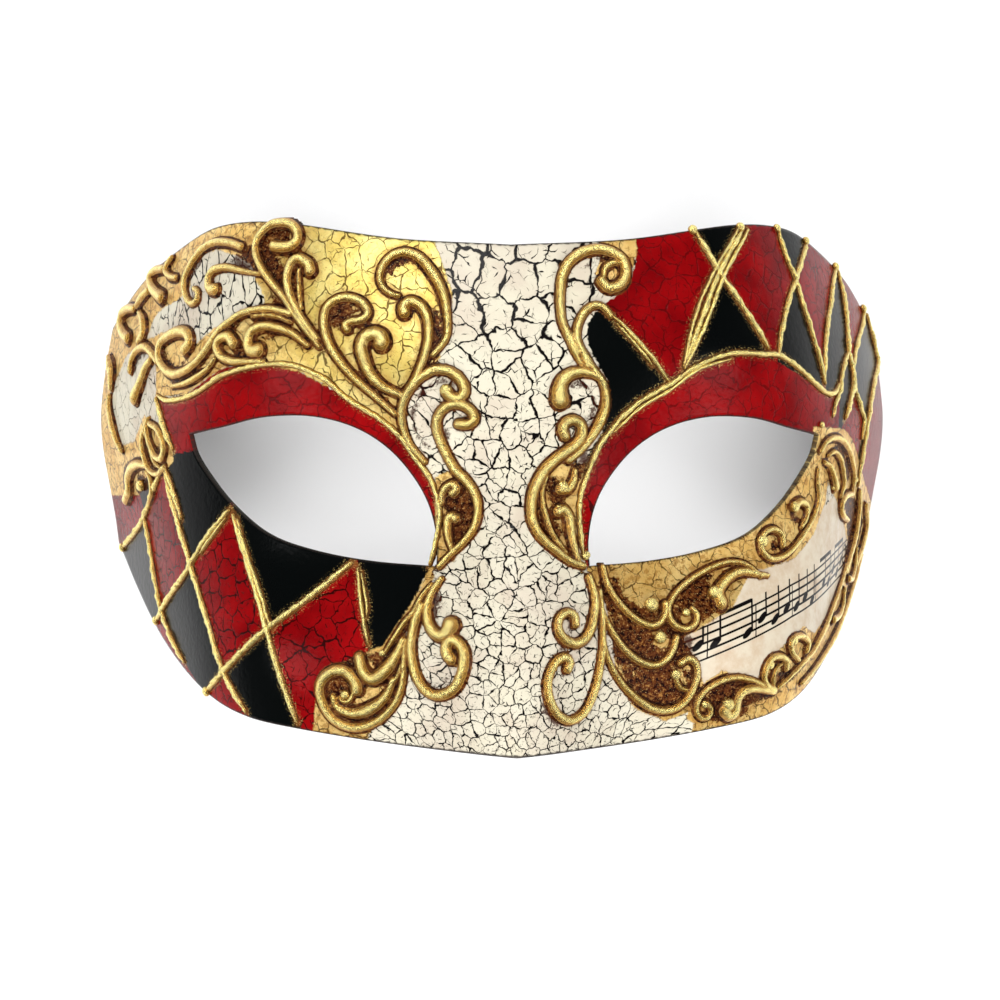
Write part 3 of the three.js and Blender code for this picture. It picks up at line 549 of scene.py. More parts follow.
     (38.7, -37.5), (37.6, -39.2), (37.5, -41.2), (38.8, -42.6), (40.3, -42.3), (40.6, -40.7),
     (39.6, -39.7)]),
    (1.1, 0.6, 1.5, [(56.9, -38.3), (53.1, -37.5), (49.8, -37.2), (47.4, -38), (46.6, -39.7), (46.3, -41.5),
     (45, -42.2), (43.7, -41.2)]),
    (0.95, 0.9, 0.9, [(56.8, -37.7), (54.1, -36.6), (53.2, -34.7), (53.7, -32.8), (55.3, -31.4),
     (57.8, -31.2), (60.1, -32.1), (60.3, -33.7)]),
    (0.6, 0.6, 0.6, [(56.8, -37.7), (56.1, -35.3), (57.1, -33.4), (58.7, -32.7)]),
    (0.9, 0.8, 0.9, [(65, -32.2), (62.1, -30.5), (61.1, -28.7), (63, -27.6), (66.7, -27.7), (69.5, -29.1),
     (68.7, -30.6)]),
    (0.85, 0.6, 0.6, [(58.1, -37.4), (62.2, -35.4), (67.2, -33.1), (73, -30.7), (76.1, -28.8), (80.3, -26.5),
     (84.9, -23.4), (90.1, -20.1), (95, -17), (99.2, -14)]),
    (0.9, 0.6, 0.6, [(68, -37.2), (80, -32.9), (93, -27.8), (104, -22.1), (113, -17.2), (121, -12.2)]),
    (0.8, 0.6, 1.4, [(99, -19), (97.5, -22.5), (93.5, -24.6), (88, -25.2)]),
    (0.8, 0.6, 1.3, [(113, -10.5), (111, -14.5), (107, -17.2), (103, -17)]),
    # right temple
    (1, 0.6, 0.6, [(73.4, 10), (75.7, 11.8), (80.1, 12.9), (85.3, 12.6), (90.1, 10.9), (94.5, 8.2),
     (98.3, 4.8), (98.4, 1.4)]),
    (0.8, 0.6, 0.8, [(77.8, 9.2), (81.2, 10.1), (84.8, 8.9), (87.7, 6.4), (89.6, 3.5), (88.1, 0.9)]),
    (0.9, 0.6, 1.6, [(75.8, 7.9), (78.8, 7.1), (81.1, 5.1), (83, 2.8)]),
    (1, 0.8, 0.8, [(98.4, 1.4), (91.7, 0.7), (88.8, -1), (90.5, -2.9), (96.3, -4.2)]),
    (1.2, 0.7, 0.7, [(106.2, 1.9), (108.2, -1.6), (108.4, -5.1), (106.7, -8.6), (102.7, -12.1),
     (98.3, -15.4)]),
    (1.1, 0.7, 0.7, [(117.6, -1), (122.6, -5.5), (120, -10), (112.5, -14.3)]),
]


def about(places, line, reach):
    """Which places are in the box round a line's points, widened by the reach."""
    return np.all((places > np.min(line, 0) - reach) & (places < np.max(line, 0) + reach), axis=1)


def moulded(places):
    """Height of the paste at each place, the gap to its nearest stroke, and how near a stroke's middle it
    is, from 0 at its edge to 1. A stroke's section is scaled to its half width w and to a height that grows
    with the square root of w; the strokes' heights h are joined as log(sum(exp(k h))) / k, so that they fuse
    a little where they meet."""
    total = np.full(len(places), math.exp(PASTE_FLOOR * MERGE))
    gap, middle = np.full(len(places), GAP_LIMIT), np.zeros(len(places))
    for half, tail, head, route in SCROLLS:
        fine = curve_through(route, ROUTE_STEP)
        near = about(places, fine, REACH + REACH_FOR_WIDTH * half)
        away = ((places[near, None] - fine) ** 2).sum(-1)
        nearest = away.argmin(1)
        distance = np.sqrt(away[np.arange(len(away)), nearest])
        shares = [tail, 1, (1 + head) / 2, head]
        width = half * np.interp(nearest / (len(fine) - 1), WIDTH_AT, shares)
        rise = SCROLL_RISE * np.sqrt(width) * np.interp(distance / width, SECTION_ACROSS, SECTION_RISE)
        total[near] += np.exp(MERGE * rise)
        gap[near] = np.minimum(gap[near], distance - width)
        middle[near] = np.maximum(middle[near], 1 - distance / width)
    return np.log(total) / MERGE, gap, middle


def spread(field, reach):
    """A field averaged over a square of the reach, twice over."""
    count = max(round(reach / SCROLL_STEP), 1)
    for axis in (0, 1, 0, 1):
        field = np.apply_along_axis(np.convolve, axis, field, np.ones(count) / count, "same")
    return field


def lumps(places, seed):
    """Unevenness between about -1 and 1: plane waves with seeded headings, lengths and phases."""
    draw = np.random.default_rng(seed)
    heading, length = draw.uniform(0, 2 * np.pi, LUMP_WAVES), draw.uniform(*LUMP_LENGTHS, LUMP_WAVES)
    waves = np.stack([np.cos(heading), np.sin(heading)]) * 2 * np.pi / length
    phase = draw.uniform(0, 2 * np.pi, LUMP_WAVES)
    return np.sin(places @ waves + phase).sum(-1) * 3 / LUMP_WAVES


def paste_faces(kept):
    """Corners of a closed body over the kept cells of a grid: top, bottom, and a wall where a kept cell
    has no kept neighbour. The bottom's points follow all the top's."""
    rows, columns = kept.shape[0] + 1, kept.shape[1] + 1
    number = np.arange(rows * columns).reshape(rows, columns)
    a, b, c, d = number[:-1, :-1], number[1:, :-1], number[1:, 1:], number[:-1, 1:]
    under = rows * columns
    around = np.pad(kept, 1)
    faces = [np.stack([a, b, c, d], -1)[kept], np.stack([d, c, b, a], -1)[kept] + under]
    for first, second, beside in ((a, b, around[1:-1, :-2]), (b, c, around[2:, 1:-1]),
                                  (c, d, around[1:-1, 2:]), (d, a, around[:-2, 1:-1])):
        wall = np.stack([second, first, first + under, second + under], -1)
        faces.append(wall[kept & ~beside])
    return np.concatenate(faces)


def paste_piece(name, kept):
    """A piece of paste over the kept cells: its top at the moulded height, its bottom inside the wall."""
    faces = paste_faces(kept)
    used, faces = np.unique(faces, return_inverse=True)
    u, v = grid_places.reshape(-1, 2).T
    top = used[used < u.size]
    bottom = used[used >= u.size] - u.size
    over = face_point(u[top], v[top]) + grid_height.ravel()[top, None] * face_normal(u[top], v[top])
    below = face_point(u[bottom], v[bottom]) - PASTE_DEPTH * face_normal(u[bottom], v[bottom])
    piece = mesh_piece(name, np.concatenate([over, below]), faces.reshape(-1, 4).tolist())
    point_values(piece, "crown", np.concatenate([grid_crown.ravel()[top], 0 * bottom]))
    return piece


grid_u, grid_v = np.arange(*GRID_U, SCROLL_STEP), np.arange(*GRID_V, SCROLL_STEP)
grid_places = np.stack(np.meshgrid(grid_u, grid_v, indexing="ij"), -1)
grid_height, grid_gap, grid_middle = (
    field.reshape(grid_places.shape[:2]) for field in moulded(grid_places.reshape(-1, 2)))
grid_height += LUMP_SHARE * np.clip(grid_height, 0, 1) * lumps(grid_places, LUMP_SEED)
# painted shade: how closely the paste crowds round each place, which browns the gilded ground between scrolls
grid_enclosed_shade = spread(np.clip(grid_height, 0, 1), ENCLOSED_SHADE_REACH)
crease = spread(np.maximum(grid_height, CREASE_FLOOR), CREASE_REACH) - grid_height
# the crown share: 1 on a bead's middle, falling to 0 at its foot and in creases; the gilding paints a
# highlight on high shares and shade on low ones
grid_crown = grid_middle * (1 - np.clip(crease / CREASE_DEPTH, 0, 1))
raised = grid_gap < PASTE_EDGE
raised = raised[:-1, :-1] | raised[1:, :-1] | raised[:-1, 1:] | raised[1:, 1:]
scrolls = [paste_piece("left_scrolls", raised & (grid_u[:-1, None] < 0)),
           paste_piece("right_scrolls", raised & (grid_u[:-1, None] >= 0))]

# The lines
# Thinner beads of the same paste, drawn freehand and left rough: the lattice of the two harlequin fields and
# a line round each lid. Some were drawn twice, side by side.
LINE_HEIGHT = 0.85
LINE_STEP = 0.35
LINE_LUMP, WOUND_SHARE = 0.16, 0.7
LINE_SEED = 200
END_SHARE, END_TAPER = 0.67, 5
END_CLOSED = 0.02
RIPPLE_LENGTHS = np.array([1.1, 2.0, 3.4, 5.5, 9.0])
# across in half widths and rise in heights, from the left foot over the crown to the right foot
LINE_ACROSS = np.array([-1.34, -1.1, -0.92, -0.72, -0.46, -0.16, 0.16, 0.46, 0.72, 0.92, 1.1, 1.34])
LINE_RISE = np.array([-0.25, 0.04, 0.32, 0.66, 0.91, 1.0, 1.0, 0.91, 0.66, 0.32, 0.04, -0.25])
# each line: its course and its half width
LID_LINES = [
    ([(-88.4, 22), (-83.1, 20.6), (-76.9, 20.6), (-71.1, 21.4), (-66.4, 22.9), (-62.3, 24.6), (-58.2, 25.6),
      (-54, 26.3), (-50.6, 26.7), (-46.4, 26.7), (-42.6, 26.1), (-39.4, 24.9), (-36.7, 23.5), (-33, 20.4),
      (-28.8, 17.6), (-26, 16), (-21.9, 12.5), (-19.1, 8.6), (-15.8, 3.9), (-14.4, -0.1), (-14, -3),
      (-14.4, -5.9), (-15, -8.8), (-15.6, -11.1), (-16.2, -12.9)], 0.55),
    ([(13.6, -11), (13.2, -8.8), (12.9, -5.9), (12.8, -3), (13, -0.1), (13.7, 2.9), (14.9, 5.8),
      (16.9, 10.4), (19, 13.3), (22, 16.7), (25, 19.2), (31.3, 22.8), (37.8, 26.7), (45.1, 29), (53, 29.1),
      (57.8, 29.1), (64.5, 26.7), (70.5, 24.1), (76.9, 22.1), (81.8, 22.5), (84.9, 24.5)], 0.55),
    ([(-88.4, 21.5), (-86, 18), (-84, 15), (-82, 12.5), (-80, 10.2)], 0.75),
    ([(-85.2, 7.3), (-83.1, 4.6), (-80.7, 0.9), (-77.7, -4.1)], 0.5),
]
LEFT_LATTICE = [
    ([(-102, -3), (-98, -14), (-93, -23.5), (-85, -30.5), (-80.5, -33.5)], 0.55),
    ([(-85.5, 6.5), (-80.5, -3.5), (-74, -13), (-67.5, -23.5), (-62.5, -34), (-56.5, -42)], 0.6),
    ([(-58.3, -2.5), (-56, -8), (-51.5, -19.5), (-49.5, -26), (-47, -34.5), (-44, -43.5)], 0.6),
    ([(-30.1, -13), (-29.6, -19.5), (-28.8, -25.2), (-28.3, -28)], 0.45),
    ([(-124, -10.5), (-103, -4), (-87, 6)], 0.6),
    ([(-98, -25.5), (-88, -20.5), (-76, -14.5), (-68, -8.5), (-59, -1.8)], 0.65),
    ([(-70, -38.5), (-62.5, -34), (-50, -25.5), (-40, -19), (-31, -12)], 0.65),
]
# the first is the upper link of the scroll beside the nose, which the paint follows and no bead does
RIGHT_LATTICE = [
    ([(17, 39), (22.5, 34), (27, 28.5), (32, 23)], 0),
    ([(39, 54), (44, 45), (49.5, 37.5), (55, 30)], 0.65),
    ([(52, 55.5), (43.5, 45), (38.5, 35.5), (34.5, 27)], 0.65),
    ([(63.6, 56), (63.8, 53.2), (65, 49.5), (66.8, 46.1), (68, 43), (69.5, 38.9), (71.3, 34.9), (73.3, 30.8),
      (75, 26.8), (76.6, 23.8)], 0.55),
    ([(77.5, 54.6), (72.3, 50.2), (67.5, 45.5), (63.9, 41.7), (61, 37.3), (58.9, 33.1), (57.8, 29.1)], 0.55),
    ([(94.6, 50.1), (89.2, 45.8), (85, 41.1), (80.9, 36.6), (77.8, 31.1), (75.6, 24.3)], 0.55),
    ([(96.5, 50.2), (97.1, 45.4), (96.5, 40.9), (95.5, 36.5), (94.1, 32), (95.8, 28.3), (95.4, 24.8),
      (92, 21.2), (88, 16.9)], 0.8),
    ([(118.1, 43.1), (111, 38.7), (103.7, 34.8), (98.9, 31.2), (95.5, 27.4), (96.7, 23.6), (99.4, 20.4),
      (103, 17.4), (102.1, 13)], 0.5),
    ([(120.1, 42.3), (121.9, 38.8), (124.1, 35), (125.6, 31.7), (117.1, 26.7), (111.2, 22.4), (107.1, 17.5),
      (105.1, 13.1), (104.1, 7.7), (104.7, 2.7)], 0.65),
]
SECOND_STROKES = [
    ([(53.3, 55), (45, 45), (39.8, 35.5), (34.2, 25.5)], 0.5),
    ([(50.5, 55), (42.2, 45), (37.3, 36.5), (34, 26)], 0.4),
    ([(-57, -3.5), (-54.5, -10), (-51.2, -17.5), (-48.5, -25.5)], 0.45),
    ([(-60, -3.5), (-64, -6.8), (-69.5, -11)], 0.45),
    ([(19.5, 13), (25, 18), (31, 21.5), (37.5, 25.8), (45, 28)], 0.4),
    ([(-29.4, -14.1), (-28.8, -17.6), (-28.3, -20.5), (-28.5, -22.7)], 0.35),
    ([(19.8, 35.9), (21.8, 34.4), (23.7, 32.3), (25.8, 30), (28.1, 27.3), (31.3, 22.8)], 0.5),
    ([(20.6, 34.6), (22.5, 32.4), (24.4, 30.3), (26.3, 28), (27.7, 26.2)], 0.4),
    ([(94.1, 32), (89.9, 29.2), (86.6, 25.7), (84.4, 22.6), (81.4, 19.8), (80.1, 17.1)], 0.5),
]
drawn_lines = LID_LINES + LEFT_LATTICE + RIGHT_LATTICE[1:] + SECOND_STROKES


def ripple(run, turn, seed):
    """Unevenness between about -1 and 1: waves of five lengths along a bead, each wound round it a whole
    number of times, with phases drawn from the seed."""
    draw = np.random.default_rng(seed)
    count = len(RIPPLE_LENGTHS)
    winding, phase = draw.integers(-2, 3, count), draw.uniform(0, 2 * np.pi, count)
    waves = np.sin(2 * np.pi * run[..., None] / RIPPLE_LENGTHS + winding * turn[..., None] + phase)
    return waves.sum(-1) * 2 / count


def tube(rings, crown):
    """Points and faces of a closed body from rings of points: quads from each ring to the next and one
    face over either end. The crown is each point's height share."""
    number = np.arange(rings.shape[0] * rings.shape[1]).reshape(rings.shape[:2])
    following = np.roll(number, -1, axis=1)
    quads = np.stack([number[:-1], following[:-1], following[1:], number[1:]], -1).reshape(-1, 4)
    ends = np.stack([number[0, ::-1], number[-1]])
    return rings.reshape(-1, 3), [quads, ends], crown.ravel()


def line_bead(route, half, seed):
    """A bead along a route on the face. The section's feet flare out and are sunk; both ends close like a
    round nose, and the size swells from an end's share to the whole within the taper."""
    places = curve_through(route, LINE_STEP)
    run = lengths_along(places)[:, None]
    nearest_end = np.minimum(run, run[-1] - run)
    nose = np.sqrt(1 - (1 - np.clip(nearest_end / half, END_CLOSED, 1)) ** 2)
    size = nose * (END_SHARE + (1 - END_SHARE) * smooth(0, END_TAPER, nearest_end))
    turn = np.pi * np.linspace(-0.5, 0.5, len(LINE_RISE))[None, :]
    lump = ripple(run, 0 * turn, seed) + WOUND_SHARE * ripple(run, turn, seed + 1)
    swollen = size * (1 + LINE_LUMP * lump)
    normal = face_normal(places[:, 0], places[:, 1])
    middle = face_point(places[:, 0], places[:, 1])
    sideways = long_one(np.cross(np.gradient(middle, axis=0), normal))
    across = half * swollen * LINE_ACROSS
    rise = LINE_HEIGHT * swollen * LINE_RISE
    points = middle[:, None] + across[..., None] * sideways[:, None] + rise[..., None] * normal[:, None]
    return tube(points, np.maximum(LINE_RISE, 0) * np.minimum(size, 1))


def relief_piece(name, parts):
    """One gilded piece from its parts, with each point's height share."""
    starts = np.cumsum([0] + [len(points) for points, _, _ in parts])
    faces = [(group + start).tolist() for start, part in zip(starts, parts) for group in part[1]]
    points = np.concatenate([points for points, _, _ in parts])
    piece = mesh_piece(name, points, sum(faces, []))
    point_values(piece, "crown", np.concatenate([crown for _, _, crown in parts]))
    return piece


lines = relief_piece("lattice_lines", [
    line_bead(route, half, LINE_SEED + 2 * number) for number, (route, half) in enumerate(drawn_lines)])

# The buds
# Drops of paste that end every curl, and the thick dabs where the lattice lines start at the rim. Each is
# pressed out of the bag in one place, settles under its weight and is gilded with the rest.
BUD_COLUMNS, BUD_ROWS = 16, 9
BUD_SQUASH, BUD_LIFT, BUD_LUMP = 0.8, 1 / 3, 0.05
BUD_SEED = 400
POLE_GAP = 0.1
# a drop's crown share at its foot; the gilding paints its top pale as a painted highlight
FOOT_CROWN = 0.35
# each drop: its place and its radius
DROPS = [((-12.9, 21.2), 1.25), ((-33.4, -37.5), 0.95), ((-12.3, -30.1), 0.9), ((-25.6, -29.5), 0.7),
         ((9.5, 2.6), 1.2), ((8.6, -1.9), 1), ((14.1, -10.7), 0.8), ((27.1, -20.5), 1.5),
         ((28.9, -26.7), 1.3), ((32.5, -33.9), 1.1), ((34.4, -22.1), 0.9), ((40.5, -18.4), 1.4),
         ((52.5, -8.3), 1.3), ((62.9, -1.4), 1.2), ((39.2, -39.9), 0.8), ((44.5, -40.1), 1.4),
         ((54.8, -32.7), 1), ((62.7, -28.3), 1), ((-100.5, 3.1), 1.3), ((73.9, 15.5), 0.7),
         ((101.7, 4.4), 0.6), ((82.3, 2.8), 0.8), ((63.1, 55.8), 0.9), ((116, 42.8), 1), ((38.6, 53.8), 1),
         ((50.8, 55), 1), ((76.6, 54.4), 0.9), ((94.7, 50.4), 1), ((13.8, -11), 0.8), ((-124, -10.5), 1),
         ((-98, -25.5), 1), ((-70, -38.5), 1)]


def bud(place, radius, seed):
    """A drop: a sphere pressed to four fifths of its height, its middle a third of the radius above the
    face, with a seeded unevenness."""
    turn, tilt = np.meshgrid(np.linspace(0, 2 * np.pi, BUD_COLUMNS, endpoint=False),
                             np.linspace(np.pi - POLE_GAP, POLE_GAP, BUD_ROWS))
    size = radius * (1 + BUD_LUMP * ripple(tilt * radius, turn, seed) * np.sin(tilt))
    u, v = np.full(1, float(place[0])), np.full(1, float(place[1]))
    normal, right = face_normal(u, v), long_one(face_steps(u, v)[0])
    local = np.stack([size * np.sin(tilt) * np.cos(turn), size * np.sin(tilt) * np.sin(turn),
                      BUD_LIFT * radius + BUD_SQUASH * size * np.cos(tilt)], -1)
    rings = face_point(u, v) + local @ np.concatenate([right, np.cross(normal, right), normal])
    return tube(rings, np.clip(FOOT_CROWN + (1 - FOOT_CROWN) * np.cos(tilt), 0, 1))


buds = relief_piece("paste_buds", [
    bud(place, radius, BUD_SEED + number) for number, (place, radius) in enumerate(DROPS)])

# The paint
# Cream, red and black lacquer with a crackle glaze, gold leaf rubbed with brown, and a strip of painted music
# paper. The leaf's tints and its brown also carry painted highlight and painted shade. Each field is an
# outline on the unrolled face, and the harlequin fields change colour at every lattice line. The shell keeps
# each point's distance to these edges, and the material paints by them.
FIELDS = {
    "score": [[(31, -36), (36, -16), (52, -8), (76, -2), (90, 3), (112, -4), (109, -13), (86, -24),
         (66, -34), (50, -39), (36, -40)]],
    "harlequin": [[(-90, 13), (-72, 12), (-42, -2), (-14, -11.5), (-17.5, -15.5), (-21.5, -27), (-34, -32.5),
         (-40, -45.5), (-46, -52), (-140, -52), (-140, 2), (-115, 1), (-104, 1.5), (-95.5, 5.5), (-87, 7)],
        [(26.5, 60), (25.5, 46.5), (23.5, 42), (21.5, 40.5), (17, 37), (15, 34.5), (15, 30), (16.5, 27),
         (18.5, 23.5), (19, 18), (18, 14), (14.5, 8.5), (13, 6), (12.5, 0), (14, -8), (15, 4), (28, 14),
         (40, 20), (60, 24), (80, 21), (80, 14), (92, 12), (102, 7), (126, -2), (140, -4), (140, 60)]],
    "lid": [[(-88.4, 21.5), (-81.5, 20.5), (-74, 21.5), (-62.5, 26), (-54, 27.8), (-46, 27), (-33, 20.5),
         (-22, 12.5), (-16, 4.5), (-14.5, -1), (-15, -6.5), (-15.5, -12.6), (-30, -6), (-60, 9), (-71, 10),
         (-79.5, 9.5), (-81, 10.5), (-84, 15)],
        [(14.5, -14), (13, -6.5), (13, -1), (15.5, 7), (20.5, 14.5), (31.5, 22.5), (38, 27), (45.5, 29),
         (53.5, 29), (67.5, 24.5), (79, 22), (86, 24), (84, 15), (72.8, 11), (50, 4), (25, -6)]],
    "gilded": [[(-16, 60), (-15.5, 50), (-13.5, 45.5), (-11.8, 40), (-12, 35.5), (-14.5, 26.5), (-20.5, 20),
         (-21, 14.5), (-22, 13), (-33, 20.5), (-42, 25), (-54, 27.8), (-62.5, 26), (-74, 21.5),
         (-88.4, 21.5), (-84, 15), (-81, 10.5), (-80.5, 8), (-84, 6.5), (-88, 6), (-96, 5), (-104.5, 1),
         (-140, 1), (-140, 60)],
        [(17, 44), (18, 47.5), (18, 60), (25.5, 60), (26, 49), (24.5, 44.5), (23, 42), (19, 41)],
        [(14, -13), (27.5, -8), (52, 0), (71, 14), (79.5, 8.5), (79, 0), (72.5, -7), (63, -12),
         (49.5, -14.5), (45, -21), (34, -27), (37.5, -32.5), (39, -37), (37, -41), (31, -43), (24.5, -40.5),
         (20.5, -35.5), (18, -20.5)],
        [(37, -60), (38, -48.5), (36.5, -46), (37.5, -44), (35.5, -42.5), (37.5, -36.5), (42.5, -33.5),
         (52.5, -35.5), (54, -31.5), (67.5, -25.5), (74, -27.5), (87, -22.5), (98, -14.5), (108.5, -11.5),
         (140, -11), (140, -60)],
        [(71.5, 12), (70, 15), (79.5, 15), (88, 15), (94.5, 13), (102, 9), (111.5, 4.5), (126, 0), (140, -3),
         (140, -12), (106, -11.5), (88, -1), (80.5, 3)],
        [(-16, -13), (-15, -14.5), (-18, -20.5), (-22, -28), (-22, -36), (-24.5, -41), (-29, -45),
         (-31, -52), (-44, -52), (-41, -46.5), (-39, -35), (-35.5, -32), (-25.5, -28), (-19.5, -19.5)],
        [(-15, 4.5), (-11.5, 6), (-8.5, 4), (-7, -1), (-7.5, -6.5), (-11.5, -11.5), (-16, -14), (-15, -6)],
        [(9, 7.5), (6, 5), (3.5, 0), (3.5, -5.5), (6.5, -10), (13.5, -14), (12.5, -6), (13.5, 1),
         (15.5, 7)]],
    "cream": [[(-77, 43.5), (-77, 48), (-73, 50.5), (-67, 51), (-61, 49.3), (-56, 47), (-52, 41), (-51, 39),
         (-53, 38.5), (-61.5, 36), (-66.5, 34), (-71.5, 31.5), (-78, 35), (-88, 35), (-97, 34), (-94, 38.5),
         (-89, 40.5), (-82, 41.5)],
        [(-119, 15), (-117, 25), (-110, 31), (-100, 34), (-92, 32), (-89.5, 27), (-88.6, 21.5), (-84.4, 15),
         (-82.5, 12.5), (-91, 16), (-95, 18), (-102, 12.5), (-114.5, 11.5)]],
}
